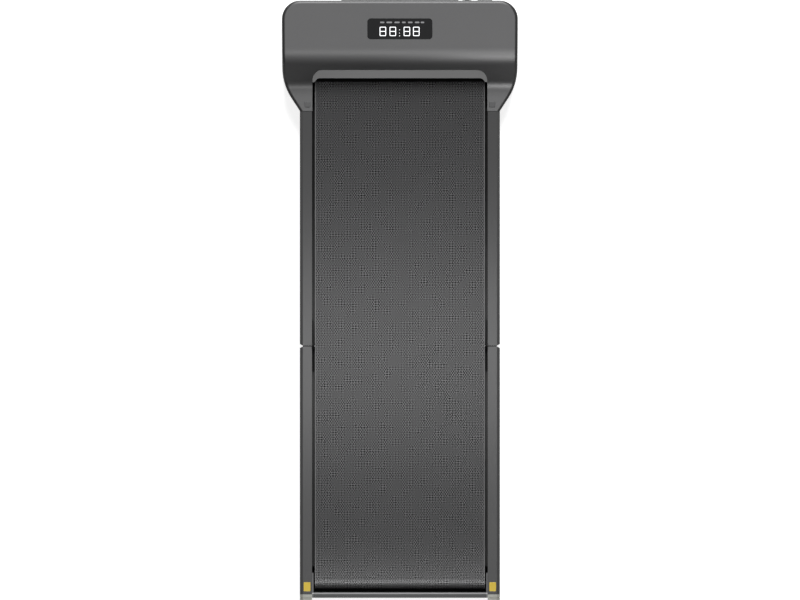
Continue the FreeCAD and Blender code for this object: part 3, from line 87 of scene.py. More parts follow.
class WalkingPadSizes(bpy.types.PropertyGroup):
    """Sizes of the pieces that the solids leave to the scene."""
    belt_thickness: length("Belt thickness", "Thickness of the running belt", 0.002)
    # Painted highlight: the pale line along each belt edge stands in for light caught on the edge.
    belt_edge_highlight: length("Belt edge", "Width of the pale line along each edge of the belt", 0.0022)
    tread_width: length("Tread width", "Distance across the belt between raised diamonds", 0.00563)
    tread_length: length("Tread length", "Distance along the belt between raised diamonds", 0.00815)
    row_length: length("Row length", "Distance along the belt between its fine crosswise rows", 0.0057)
    rib_width: length("Rib width", "Distance between the belt's fine lengthwise ribs", 0.0067)
    fold_reach: length("Fold reach", "How far each side of the hinge the belt bends", 0.003)
    digit_width: length("Digit width", "Width of one digit of the display", 0.0152)
    digit_height: length("Digit height", "Height of one digit of the display", 0.0217)
    digit_stroke: length("Digit stroke", "Width of one stroke of a digit", 0.0017)
    digit_drop: length("Digit drop", "How far the row of digits lies behind the window's middle", 0.0060)
    bar_height: length("Bar height", "Height of the small bars over the digits", 0.0036)
    bar_rise: length("Bar rise", "How far the row of bars lies ahead of the window's middle", 0.0152)
    mark_thickness: length("Mark thickness", "How far the display's marks stand off the window", 0.0003)
    tile_width: length("Tile width", "Width of a corner tile across the rail", 0.0158)
    tile_length: length("Tile length", "Length of a corner tile along the rail", 0.0214)
    tile_thickness: length("Tile thickness", "How far a corner tile stands off the rail", 0.0006)
    tile_corner: length("Tile corner", "Corner radius of a corner tile", 0.0018)
    tile_rim: length("Tile rim", "Width of the sloping rim of a corner tile", 0.0005)
    tile_across: length("Tile place", "Distance of a corner tile from the pad's middle plane", 0.2186)
    pad_width: length("Pad width", "Width of a shoulder pad across the head", 0.0135)
    pad_length: length("Pad length", "Length of a shoulder pad along the head", 0.0125)
    pad_height: length("Pad height", "How far a shoulder pad stands off the head", 0.0012)
    pad_corner: length("Pad corner", "Corner radius of a shoulder pad", 0.0015)
    pad_across: length("Pad place", "Distance of a shoulder pad from the pad's middle plane", 0.2175)
    pad_from_seam: length("Pad from seam", "Distance of a shoulder pad from the rail's front end", 0.0155)
    screw_radius: length("Screw radius", "Radius of the head of an underside screw", 0.0042)
    screw_height: length("Screw height", "Height of the head of an underside screw", 0.0022)
    tray_screw_across: length("Tray screw place", "Distance of a tray's side screws from the middle", 0.235)
    tray_end_across: length("Tray end place", "Distance of a tray's front screws from the middle", 0.105)
    tray_end_inset: length("Tray end inset", "Distance of a tray's front screws from its front end", 0.014)
    seal_depth: length("Seal depth", "How far the mouth seal reaches back from the lip's front edge", 0.0272)
    seal_thickness: length("Seal thickness", "Thickness of the mouth seal under the lip", 0.0011)
    seal_clearance: length("Seal clearance", "Gap between the mouth seal and the lip", 0.0002)
    gasket_length: length("Gasket length", "Length of a hinge gasket or seam strip across a rail", 0.0217)
    gasket_width: length("Gasket width", "Width of a hinge gasket between two rails", 0.00198)
    gasket_thickness: length("Gasket thickness", "Thickness of a hinge gasket", 0.0009)
    seam_width: length("Seam width", "Width of the seam strip between a rail and the head", 0.0009)
    seam_height: length("Seam height", "How far a seam strip stands off the rail", 0.0002)


class WalkingPadColours(bpy.types.PropertyGroup):
    """Colours of the finishes that show most."""
    head: colour("Head", "Moulded cover of the head", (0.134, 0.134, 0.136))
    lip: colour("Lip", "Lighter lip over the belt mouth", (0.155, 0.155, 0.157))
    rail: colour("Rail", "Powder coat of the side rails", (0.074, 0.074, 0.075))
    belt: colour("Belt", "Running belt", (0.032, 0.032, 0.033))
    # Painted highlight: the pale line along each belt edge stands in for light caught on the edge.
    belt_edge_highlight: colour("Belt edge", "Pale line along each edge of the belt", (0.135, 0.135, 0.137))
    window: colour("Window", "Display window", (0.020, 0.020, 0.021))
    digits: colour("Digits", "Lit digits of the display", (0.92, 0.93, 0.95))
    bars: colour("Bars", "Small bars over the digits", (0.26, 0.26, 0.27))
    cap: colour("Cap", "Pale end caps of the rails", (0.43, 0.435, 0.39))
    guard: colour("Guard", "Bar behind the rear roller", (0.085, 0.085, 0.087))
    tile: colour("Tile", "Corner tiles at the rear", (0.76, 0.54, 0.03))
    bumper: colour("Bumper", "Bar ahead of the head", (0.165, 0.165, 0.168))


class WalkingPadSettings(bpy.types.PropertyGroup):
    """All settings of the walking pad."""
    sizes: PointerProperty(type=WalkingPadSizes)
    colours: PointerProperty(type=WalkingPadColours)


def clear_selection():
    """Leave edit mode and select nothing."""
    if bpy.context.object and bpy.context.object.mode != "OBJECT":
        bpy.ops.object.mode_set(mode="OBJECT")
    bpy.ops.object.select_all(action="DESELECT")


def start_box(name, low, high):
    """A cube stretched between two corners, as the start of a piece, left in edit mode."""
    clear_selection()
    middle = (low + high) / 2
    bpy.ops.mesh.primitive_cube_add(size=1.0, location=middle)
    piece = bpy.context.object
    piece.name = name
    bpy.ops.object.mode_set(mode="EDIT")
    bpy.ops.transform.resize(value=high - low)
    return piece


def pick(piece, kind, choose):
    """In edit mode, select the edges or faces whose place and direction the choice accepts."""
    bpy.ops.mesh.select_mode(type=kind)
    bpy.ops.mesh.select_all(action="DESELECT")
    bpy.ops.object.mode_set(mode="OBJECT")
    mesh = piece.data
    if kind == "EDGE":
        for edge in mesh.edges:
            ends = [mesh.vertices[index].co for index in edge.vertices]
            edge.select = choose((ends[0] + ends[1]) / 2, (ends[1] - ends[0]).normalized())
    else:
        for face in mesh.polygons:
            face.select = choose(face.center, face.normal)
    bpy.ops.object.mode_set(mode="EDIT")


def settle(piece):
    """Leave edit mode and put the piece's place into its mesh."""
    bpy.ops.object.mode_set(mode="OBJECT")
    clear_selection()
    piece.select_set(True)
    bpy.context.view_layer.objects.active = piece
    bpy.ops.object.transform_apply(location=True, rotation=True, scale=True)


def smooth(piece, degrees):
    """Smooth shading up to an angle between faces."""
    clear_selection()
    piece.select_set(True)
    bpy.context.view_layer.objects.active = piece
    bpy.ops.object.shade_smooth_by_angle(angle=math.radians(degrees))


def apply_modifier(piece, kind, **values):
    """Add a modifier with its values and apply it."""
    clear_selection()
    piece.select_set(True)
    bpy.context.view_layer.objects.active = piece
    modifier = piece.modifiers.new(kind.title(), kind)
    for key, value in values.items():
        setattr(modifier, key, value)
    bpy.ops.object.modifier_apply(modifier=modifier.name)


def copy_to(piece, name, place, turn=0.0):
    """A copy with its own mesh, turned about Z and moved from the origin to a place."""
    clear_selection()
    piece.select_set(True)
    bpy.context.view_layer.objects.active = piece
    bpy.ops.object.duplicate(linked=False)
    twin = bpy.context.object
    twin.name = name
    twin.rotation_euler.z = turn
    twin.location = place
    bpy.ops.object.transform_apply(location=True, rotation=True, scale=True)
    return twin


def join(pieces, name):
    """Make one piece of several."""
    clear_selection()
    for piece in pieces:
        piece.select_set(True)
    bpy.context.view_layer.objects.active = pieces[0]
    bpy.ops.object.join()
    pieces[0].name = name
    pieces[0].data.name = name
    return pieces[0]


def dress(piece, material):
    """Give a piece one material."""
    piece.data.materials.clear()
    piece.data.materials.append(material)


COLOUR_SOCKET = "NodeSocketColor"
VALUE_SOCKET = "NodeSocketFloat"
SURFACE_INPUTS = (
    ("Colour", COLOUR_SOCKET), ("Roughness", VALUE_SOCKET),
    ("Grain", VALUE_SOCKET), ("Drift", VALUE_SOCKET),
)
SURFACE_OUTPUTS = (("Colour", COLOUR_SOCKET), ("Roughness", VALUE_SOCKET), ("Height", VALUE_SOCKET))


def new_surface(name):
    """An empty shader node group with the sockets that all surfaces share, and its two end nodes."""
    group = bpy.data.node_groups.new(name, "ShaderNodeTree")
    for socket, kind in SURFACE_INPUTS:
        group.interface.new_socket(name=socket, in_out="INPUT", socket_type=kind)
    for socket, kind in SURFACE_OUTPUTS:
        group.interface.new_socket(name=socket, in_out="OUTPUT", socket_type=kind)
    return group, group.nodes.new("NodeGroupInput"), group.nodes.new("NodeGroupOutput")


def add_math(tree, operation, first, second):
    """A math node fed by sockets or plain numbers."""
    node = tree.nodes.new("ShaderNodeMath")
    node.operation = operation
    for socket, value in zip(node.inputs, (first, second)):
        if isinstance(value, (int, float)):
            socket.default_value = value
        else:
            tree.links.new(value, socket)
    return node.outputs[0]


def wave(tree, place, step):
    """A cosine with one crest in each step of a place."""
    return add_math(tree, "COSINE", add_math(tree, "MULTIPLY", place, 2.0 * math.pi / step), 0.0)


def add_noise(tree, vector, scale, detail=2.0):
    """A noise texture on given coordinates, as a value about one half."""
    node = tree.nodes.new("ShaderNodeTexNoise")
    node.inputs["Detail"].default_value = detail
    tree.links.new(vector, node.inputs["Vector"])
    if isinstance(scale, (int, float)):
        node.inputs["Scale"].default_value = scale
    else:
        tree.links.new(scale, node.inputs["Scale"])
    return node.outputs["Fac"]


def stretched_noise(tree, vector, scale, contrast, middle):
    """A noise about a middle value with more contrast, never below zero."""
    centred = add_math(tree, "SUBTRACT", add_noise(tree, vector, scale, 1.0), 0.5)
    spread = add_math(tree, "ADD", add_math(tree, "MULTIPLY", centred, contrast), middle)
    return add_math(tree, "MAXIMUM", spread, 0.0)


def shade_colour(tree, base, factor):
    """A colour made lighter or darker by a factor."""
    node = tree.nodes.new("ShaderNodeVectorMath")
    node.operation = "SCALE"
    tree.links.new(base, node.inputs[0])
    tree.links.new(factor, node.inputs["Scale"])
    return node.outputs["Vector"]


def moulded_grain():
    """Spark-eroded plastic or powder coat: fine grain, with a slow drift of tone and gloss."""
    group, given, result = new_surface("Moulded grain")
    place = group.nodes.new("ShaderNodeTexCoord").outputs["Object"]
    fine = add_noise(group, place, given.outputs["Grain"], 3.0)
    slow = add_noise(group, place, 5.0, 2.0)
    speckle = add_math(group, "MULTIPLY", add_math(group, "SUBTRACT", fine, 0.5), 0.35)
    cloud = add_math(group, "MULTIPLY", add_math(group, "SUBTRACT", slow, 0.5), given.outputs["Drift"])
    factor = add_math(group, "ADD", add_math(group, "ADD", speckle, cloud), 1.0)
    tone = shade_colour(group, given.outputs["Colour"], factor)
    gloss = add_math(group, "ADD", given.outputs["Roughness"], add_math(group, "MULTIPLY", cloud, 0.5))
    group.links.new(tone, result.inputs["Colour"])
    group.links.new(gloss, result.inputs["Roughness"])
    group.links.new(fine, result.inputs["Height"])
    return group


def drawn_metal():
    """Metal with fine lines along Y, as it comes off a lathe, brush or press."""
    group, given, result = new_surface("Drawn metal")
    place = group.nodes.new("ShaderNodeTexCoord").outputs["Object"]
    stretch = group.nodes.new("ShaderNodeMapping")
    stretch.inputs["Scale"].default_value = (1.0, 0.04, 0.04)
    group.links.new(place, stretch.inputs["Vector"])
    lines = add_noise(group, stretch.outputs["Vector"], given.outputs["Grain"], 4.0)
    slow = add_noise(group, place, 18.0, 3.0)
    streak = add_math(group, "MULTIPLY", add_math(group, "SUBTRACT", lines, 0.5), 0.5)
    stain = add_math(group, "MULTIPLY", add_math(group, "SUBTRACT", slow, 0.5), given.outputs["Drift"])
    factor = add_math(group, "ADD", add_math(group, "ADD", streak, stain), 1.0)
    tone = shade_colour(group, given.outputs["Colour"], factor)
    gloss = add_math(group, "ADD", given.outputs["Roughness"], add_math(group, "MULTIPLY", streak, 0.4))
    group.links.new(tone, result.inputs["Colour"])
    group.links.new(gloss, result.inputs["Roughness"])
    group.links.new(lines, result.inputs["Height"])
    return group


def make_material(name, group, base, roughness, grain, drift, bump, metallic=0.0, specular=0.5):
    """A finish from one of the shared surface groups."""
    material = bpy.data.materials.new(name)
    material.use_nodes = True
    tree = material.node_tree
    shader = tree.nodes["Principled BSDF"]
    shader.inputs["Metallic"].default_value = metallic
    shader.inputs["Specular IOR Level"].default_value = specular
    surface = tree.nodes.new("ShaderNodeGroup")
    surface.node_tree = group
    surface.name = "Surface"
    surface.inputs["Colour"].default_value = base
    surface.inputs["Roughness"].default_value = roughness
    surface.inputs["Grain"].default_value = grain
    surface.inputs["Drift"].default_value = drift
    relief = tree.nodes.new("ShaderNodeBump")
    relief.inputs["Distance"].default_value = bump
    tree.links.new(surface.outputs["Colour"], shader.inputs["Base Color"])
    tree.links.new(surface.outputs["Roughness"], shader.inputs["Roughness"])
    tree.links.new(surface.outputs["Height"], relief.inputs["Height"])
    tree.links.new(relief.outputs["Normal"], shader.inputs["Normal"])
    return material


def retone(material, factor):
    """Scale the colour that feeds a finish by a socket's value."""
    tree = material.node_tree
    paint = tree.nodes["Principled BSDF"].inputs["Base Color"]
    tree.links.new(shade_colour(tree, paint.links[0].from_socket, factor), paint)


def place_parts(material):
    """The object-space X, Y and Z of a finish's surface."""
    tree = material.node_tree
    parts = tree.nodes.new("ShaderNodeSeparateXYZ")
    tree.links.new(tree.nodes.new("ShaderNodeTexCoord").outputs["Object"], parts.inputs[0])
    return parts.outputs


def paint_light_by_reach(material, reach, inside, outside):
    """Paint light and shade into a finish: scale it by one factor nearer to the pad's middle plane than a reach,
    and by one beyond.
    """
    tree = material.node_tree
    from_middle = add_math(tree, "ABSOLUTE", place_parts(material)["X"], 0.0)
    beyond = add_math(tree, "GREATER_THAN", from_middle, reach)
    retone(material, add_math(tree, "ADD", add_math(tree, "MULTIPLY", beyond, outside - inside), inside))


def paint_highlight_line(material, low, high, lift):
    """Paint a highlight into a finish: lighten it along a line across the pad, between two places along it."""
    tree = material.node_tree
    along = place_parts(material)["Y"]
    after = add_math(tree, "GREATER_THAN", along, low)
    before = add_math(tree, "LESS_THAN", along, high)
    band = add_math(tree, "MULTIPLY", after, before)
    retone(material, add_math(tree, "ADD", add_math(tree, "MULTIPLY", band, lift), 1.0))


def paint_side_wall_shade(material, start, end, shade):
    """Paint shade into a finish: darken it where the surface turns from facing up to facing sideways."""
    tree = material.node_tree
    facing = tree.nodes.new("ShaderNodeSeparateXYZ")
    tree.links.new(tree.nodes.new("ShaderNodeTexCoord").outputs["Normal"], facing.inputs[0])
    ramp = tree.nodes.new("ShaderNodeMapRange")
    ramp.interpolation_type = "SMOOTHSTEP"
    ramp.inputs["From Min"].default_value = start
    ramp.inputs["From Max"].default_value = end
    ramp.inputs["To Min"].default_value = 1.0
    ramp.inputs["To Max"].default_value = shade
    tree.links.new(add_math(tree, "ABSOLUTE", facing.outputs["X"], 0.0), ramp.inputs["Value"])
    retone(material, ramp.outputs["Result"])


def make_belt_material(settings):
    """Rubber-faced belt: patches of raised diamonds and of fine ribs and rows, polished, and a painted highlight
    along each edge.
    """
    sizes = settings.sizes
    material = bpy.data.materials.new("belt_rubber_tread")
    material.use_nodes = True
    tree = material.node_tree
    shader = tree.nodes["Principled BSDF"]
    shader.inputs["Specular IOR Level"].default_value = 0.15
    shader.inputs["Coat Roughness"].default_value = 0.5
    along = tree.nodes.new("ShaderNodeUVMap")
    along.uv_map = "belt_run"
    parts = tree.nodes.new("ShaderNodeSeparateXYZ")
    tree.links.new(along.outputs["UV"], parts.inputs[0])
    half = (BELT_FRONT.x - BELT_LOW.x) / 2
    from_middle = add_math(tree, "ABSOLUTE", parts.outputs["X"], 0.0)
    # Painted highlight: a lighter strip along each edge of the belt, standing in for light caught there.
    edge = add_math(tree, "GREATER_THAN", from_middle, half - sizes.belt_edge_highlight)
    across_wave = wave(tree, parts.outputs["X"], sizes.tread_width)
    along_wave = wave(tree, parts.outputs["Y"], sizes.tread_length)
    diamond = add_math(tree, "MULTIPLY", across_wave, along_wave)
    rib = wave(tree, parts.outputs["X"], sizes.rib_width)
    row = wave(tree, parts.outputs["Y"], sizes.row_length)
    rib_share = 0.45
    ribs = add_math(tree, "MULTIPLY", rib, rib_share)
    rows = add_math(tree, "MULTIPLY", row, 1.0 - rib_share)
    weave = add_math(tree, "ADD", ribs, rows)
    share = stretched_noise(tree, along.outputs["UV"], 61.0, 4.0, 0.62)
    depth = stretched_noise(tree, along.outputs["UV"], 38.0, 5.0, 1.0)
    blend = tree.nodes.new("ShaderNodeMix")
    tree.links.new(share, blend.inputs["Factor"])
    tree.links.new(weave, blend.inputs["A"])
    tree.links.new(diamond, blend.inputs["B"])
    relief_depth = add_math(tree, "MULTIPLY", depth, add_math(tree, "SUBTRACT", 1.0, edge))
    tread = add_math(tree, "MULTIPLY", blend.outputs["Result"], relief_depth)
    drift = add_noise(tree, along.outputs["UV"], 9.0, 3.0)
    cloud = add_math(tree, "MULTIPLY", add_math(tree, "SUBTRACT", drift, 0.5), 0.25)
    raised = add_math(tree, "MULTIPLY", tread, 0.78)
    factor = add_math(tree, "ADD", add_math(tree, "ADD", raised, cloud), 1.0)
    # The edge mask swaps in the lighter colour of the painted edge highlight.
    base = tree.nodes.new("ShaderNodeMix")
    base.data_type = "RGBA"
    tree.links.new(edge, base.inputs["Factor"])
    base.inputs["A"].default_value = settings.colours.belt
    base.inputs["B"].default_value = settings.colours.belt_edge_highlight
    tree.links.new(shade_colour(tree, base.outputs["Result"], factor), shader.inputs["Base Color"])
    gloss = add_math(tree, "SUBTRACT", 0.55, add_math(tree, "MULTIPLY", tread, 0.06))
    tree.links.new(gloss, shader.inputs["Roughness"])
    polish = add_math(tree, "ADD", 0.5, raised)
    polish.node.use_clamp = True
    tree.links.new(polish, shader.inputs["Coat Weight"])
    relief = tree.nodes.new("ShaderNodeBump")
    relief.inputs["Distance"].default_value = 0.0001
    tree.links.new(tread, relief.inputs["Height"])
    tree.links.new(relief.outputs["Normal"], shader.inputs["Normal"])
    return material


class PAD_OT_running_belt(bpy.types.Operator):
    """Add the endless running belt round both rollers"""
    bl_idname = "walking_pad.running_belt"
    bl_label = "Running belt"

    def execute(self, context):
        settings = context.scene.walking_pad
        sizes = settings.sizes
        low = Vector((BELT_LOW.x, BELT_REAR.y, BELT_LOW.z))
        high = BELT_FRONT
        radius = (high.z - low.z) / 2
        belt = start_box("running_belt", low, high)
        pick(belt, "FACE", lambda place, normal: abs(normal.x) > 0.5)
        bpy.ops.mesh.delete(type="FACE")
        pick(belt, "EDGE", lambda place, way: abs(way.x) > 0.5)
        bpy.ops.mesh.bevel(offset=radius, segments=18, profile=0.5, affect="EDGES", clamp_overlap=False)
        bpy.ops.mesh.select_all(action="SELECT")
        bpy.ops.mesh.remove_doubles(threshold=0.0001)
        reach = sizes.fold_reach
        steps = 24
        for step in range(steps + 1):
            cut_y = HINGE.y - reach + 2 * reach * step / steps
            bpy.ops.mesh.select_all(action="SELECT")
            bpy.ops.mesh.bisect(plane_co=(0.0, cut_y, 0.0), plane_no=(0.0, 1.0, 0.0))
        bpy.ops.mesh.select_all(action="SELECT")
        bpy.ops.mesh.normals_make_consistent(inside=False)
        settle(belt)
        self.lay_out(belt, low, high, radius)
        apply_modifier(belt, "SOLIDIFY", thickness=sizes.belt_thickness, offset=-1.0, use_even_offset=True)
        smooth(belt, 40)
        dress(belt, make_belt_material(settings))
        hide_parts("running_belt_front", "running_belt_rear")
        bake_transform(belt)
        return {"FINISHED"}

    def lay_out(self, belt, low, high, radius):
        """Lay the belt flat in a UV map: X across it, and the distance round its loop along it."""
        front = high.y - radius
        rear = low.y + radius
        run = front - rear
        bend = math.pi * radius
        middle = (high.z + low.z) / 2
        mesh = belt.data
        flat = mesh.uv_layers.new(name="belt_run")

        def distance(place):
            """How far along the loop a place lies, from the rear end of the upper run."""
            if place.y > front:
                return run + radius * math.atan2(place.y - front, place.z - middle)
            if place.y < rear:
                return 2 * run + bend + radius * math.atan2(rear - place.y, middle - place.z)
            if place.z > middle:
                return place.y - rear
            return run + bend + front - place.y

        whole = 2 * run + 2 * bend
        pitch = bpy.context.scene.walking_pad.sizes.tread_length
        stretch = round(whole / pitch) * pitch / whole
        for face in mesh.polygons:
            corners = [mesh.vertices[index].co for index in face.vertices]
            rounds = [distance(corner) for corner in corners]
            for loop, corner, turn in zip(face.loop_indices, corners, rounds):
                if turn - min(rounds) > whole / 2:
                    turn -= whole
                flat.data[loop].uv = (corner.x, turn * stretch)


class PAD_OT_display_marks(bpy.types.Operator):
    """Add the display's digits, dots and small bars"""
    bl_idname = "walking_pad.display_marks"
    bl_label = "Display marks"

    def execute(self, context):
        settings = context.scene.walking_pad
        sizes = settings.sizes
        thick = sizes.mark_thickness
        middle = (WINDOW_LOW + WINDOW_HIGH) / 2
        level = WINDOW_HIGH.z + thick / 2
        stroke = sizes.digit_stroke
        level_bar = self.bar(sizes.digit_width - stroke * 1.2, stroke, thick)
        upright_bar = self.bar(sizes.digit_height / 2 - stroke * 0.7, stroke, thick)
        digit_row = middle.y - sizes.digit_drop
        digit_places = (-0.0400, -0.0166, 0.0165, 0.0386)
        digits = []
        for index, across in enumerate(digit_places):
            centre = Vector((across, digit_row, level))
            for lift in (-1, 0, 1):
                rise = lift * (sizes.digit_height - stroke) / 2
                digits.append(copy_to(level_bar, f"digit_{index}", centre + Vector((0.0, rise, 0.0))))
            for side in (-1, 1):
                for lift in (-1, 1):
                    shift = Vector((
                        side * (sizes.digit_width - stroke) / 2,
                        lift * (sizes.digit_height - stroke) / 4,
                        0.0,
                    ))
                    digits.append(copy_to(upright_bar, f"digit_{index}", centre + shift, math.pi / 2))
        dot = self.bar(stroke * 1.05, stroke, thick)
        dot_across = -0.0007
        dot_rises = (0.0038, -0.0040, -0.0104)
        for rise in dot_rises:
            digits.append(copy_to(dot, "digit_dot", Vector((dot_across, digit_row + rise, level))))
        digits = join(digits, "display_digits")
        bars = []
        row = middle.y + sizes.bar_rise
        for across, width in self.bar_row():
            bar = self.bar(width, sizes.bar_height, thick)
            bars.append(copy_to(bar, "display_bar", Vector((across, row, level))))
            bpy.data.objects.remove(bar)
        bars = join(bars, "display_bars")
        for pattern in (level_bar, upright_bar, dot):
            bpy.data.objects.remove(pattern)
        dress(digits, self.lit("display_digits_lit", settings.colours.digits, 0.85))
        dress(bars, self.lit("display_bars_lit", settings.colours.bars, 0.25))
        for piece in (digits, bars):
            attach(piece, "base")
        return {"FINISHED"}

    def bar_row(self):
        """Place and width of each small bar, in metres from the middle."""
        return (
            (-0.0415, 0.0100), (-0.0249, 0.0132), (-0.0066, 0.0122), (0.0094, 0.0084),
            (0.0244, 0.0106), (0.0406, 0.0106), (0.0532, 0.0082),
        )

    def bar(self, long, wide, thick):
        """A flat bar at the origin with eased ends."""
        size = Vector((long, wide, thick)) / 2
        bar = start_box("bar_pattern", -size, size)
        pick(bar, "EDGE", lambda place, way: abs(way.z) > 0.5)
        bpy.ops.mesh.bevel(offset=min(long, wide) * 0.42, segments=3, affect="EDGES")
        settle(bar)
        return bar

    def lit(self, name, shade, glow):
        """Lit segments behind a smoked window, a little uneven in brightness."""
        material = bpy.data.materials.new(name)
        material.use_nodes = True
        tree = material.node_tree
        shader = tree.nodes["Principled BSDF"]
        place = tree.nodes.new("ShaderNodeTexCoord").outputs["Object"]
        uneven = add_noise(tree, place, 160.0, 2.0)
        factor = add_math(tree, "ADD", add_math(tree, "MULTIPLY", uneven, 0.2), 0.9)
        paint = tree.nodes.new("ShaderNodeVectorMath")
        paint.operation = "SCALE"
        paint.inputs[0].default_value = shade[:3]
        tree.links.new(factor, paint.inputs["Scale"])
        tree.links.new(paint.outputs["Vector"], shader.inputs["Base Color"])
        tree.links.new(paint.outputs["Vector"], shader.inputs["Emission Color"])
        shader.inputs["Emission Strength"].default_value = glow
        shader.inputs["Roughness"].default_value = 0.4
        return material


class PAD_OT_corner_tiles(bpy.types.Operator):
    """Add the plain coloured tiles on the rear ends of the rails"""
    bl_idname = "walking_pad.corner_tiles"
    bl_label = "Corner tiles"

    def execute(self, context):
        settings = context.scene.walking_pad
        sizes = settings.sizes
        size = Vector((sizes.tile_width, sizes.tile_length, sizes.tile_thickness)) / 2
        pattern = start_box("tile_pattern", -size, size)
        pick(pattern, "EDGE", lambda place, way: abs(way.z) > 0.5)
        bpy.ops.mesh.bevel(offset=sizes.tile_corner, segments=5, affect="EDGES")
        pick(pattern, "FACE", lambda place, normal: normal.z > 0.9)
        bpy.ops.mesh.inset(thickness=sizes.tile_rim, depth=0.0)
        bpy.ops.transform.translate(value=(0.0, 0.0, sizes.tile_thickness / 3))
        settle(pattern)
        along = -0.6729
        level = RAIL_HIGH.z + size.z
        material = make_material(
            "tile_reflector", bpy.data.node_groups["Moulded grain"], settings.colours.tile,
            0.38, 700.0, 0.3, 0.00006,
        )
        for name, side in (("left", -1), ("right", 1)):
            tile = copy_to(pattern, f"corner_tile_{name}", Vector((side * sizes.tile_across, along, level)))
            dress(tile, material)
            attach(tile, "rear_deck")
        bpy.data.objects.remove(pattern)
        return {"FINISHED"}


class PAD_OT_shoulder_pads(bpy.types.Operator):
    """Add the small raised pads at the rear of the head's shoulders"""
    bl_idname = "walking_pad.shoulder_pads"
    bl_label = "Shoulder pads"

    def execute(self, context):
        sizes = context.scene.walking_pad.sizes
        size = Vector((sizes.pad_width, sizes.pad_length, sizes.pad_height)) / 2
        pattern = start_box("pad_pattern", -size, size)
        pick(pattern, "EDGE", lambda place, way: abs(way.z) > 0.5)
        bpy.ops.mesh.bevel(offset=sizes.pad_corner, segments=4, affect="EDGES")
        pick(pattern, "FACE", lambda place, normal: normal.z > 0.9)
        bpy.ops.mesh.bevel(offset=sizes.pad_height / 3, segments=2, affect="EDGES")
        settle(pattern)
        along = RAIL_HIGH.y + sizes.pad_from_seam
        level = RAIL_HIGH.z + size.z
        for name, side in (("left", -1), ("right", 1)):
            piece = copy_to(pattern, f"shoulder_pad_{name}", Vector((side * sizes.pad_across, along, level)))
            smooth(piece, 20)
            dress(piece, bpy.data.materials["head_satin_plastic"])
            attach(piece, "base")
        bpy.data.objects.remove(pattern)
        return {"FINISHED"}


class PAD_OT_seals(bpy.types.Operator):
    """Add the near-black strips under the lip, at the hinge and at the seam of rail and head, painted as shade in
    those gaps
    """
    bl_idname = "walking_pad.seals"
    bl_label = "Seals"

    def execute(self, context):
        sizes = context.scene.walking_pad.sizes
        clear = sizes.seal_clearance
        seal_high = Vector((LIP_HIGH.x - clear, LIP_HIGH.y, LIP_LOW.z - clear))
        seal_rear = LIP_HIGH.y - sizes.seal_depth
        seal_low = Vector((LIP_LOW.x + clear, seal_rear, seal_high.z - sizes.seal_thickness))
        # The mouth seal is a rubber flap under the lip; its near-black finish is also painted shade for the gap
        # under the lip.
        self.strip("mouth_seal", seal_low, seal_high, "cushion_rubber", "base")
        buffer_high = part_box("rail_buffers")[1]
        hinge_end = HINGE.y - sizes.gasket_width / 2
        gasket = Vector((sizes.gasket_length, sizes.gasket_width, sizes.gasket_thickness))
        seam = Vector((sizes.gasket_length, sizes.seam_width, sizes.seam_height))
        for name, side in (("left", -1), ("right", 1)):
            left_end = side * (buffer_high.x - gasket.x / 2) - gasket.x / 2
            low = Vector((left_end, hinge_end, buffer_high.z))
            # The hinge gaskets are rubber strips in the hinge gap; their near-black finish is also painted shade
            # for that gap.
            self.strip(f"hinge_gasket_{name}", low, low + gasket, "foot_rubber", "rear_deck")
            low = Vector((left_end, RAIL_HIGH.y - seam.y, RAIL_HIGH.z))
            # The seam strips are painted shadow: dark sheets on the rail at its seam with the head, where there is
            # only a shadowed joint.
            self.strip(f"seam_strip_{name}", low, low + seam, "cushion_rubber", "base")
        return {"FINISHED"}

    def strip(self, name, low, high, slot, body):
        """A flat strip between two corners with eased upper edges, dressed in the near-black painted-shade finish.
        """
        piece = start_box(name, low, high)
        pick(piece, "EDGE", lambda place, way: abs(way.z) < 0.5 and place.z > 0.0)
        bpy.ops.mesh.bevel(offset=(high.z - low.z) * 0.4, segments=3, affect="EDGES")
        settle(piece)
        smooth(piece, 35)
        dress(piece, bpy.data.materials["painted_shade_black"])
        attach(piece, body)


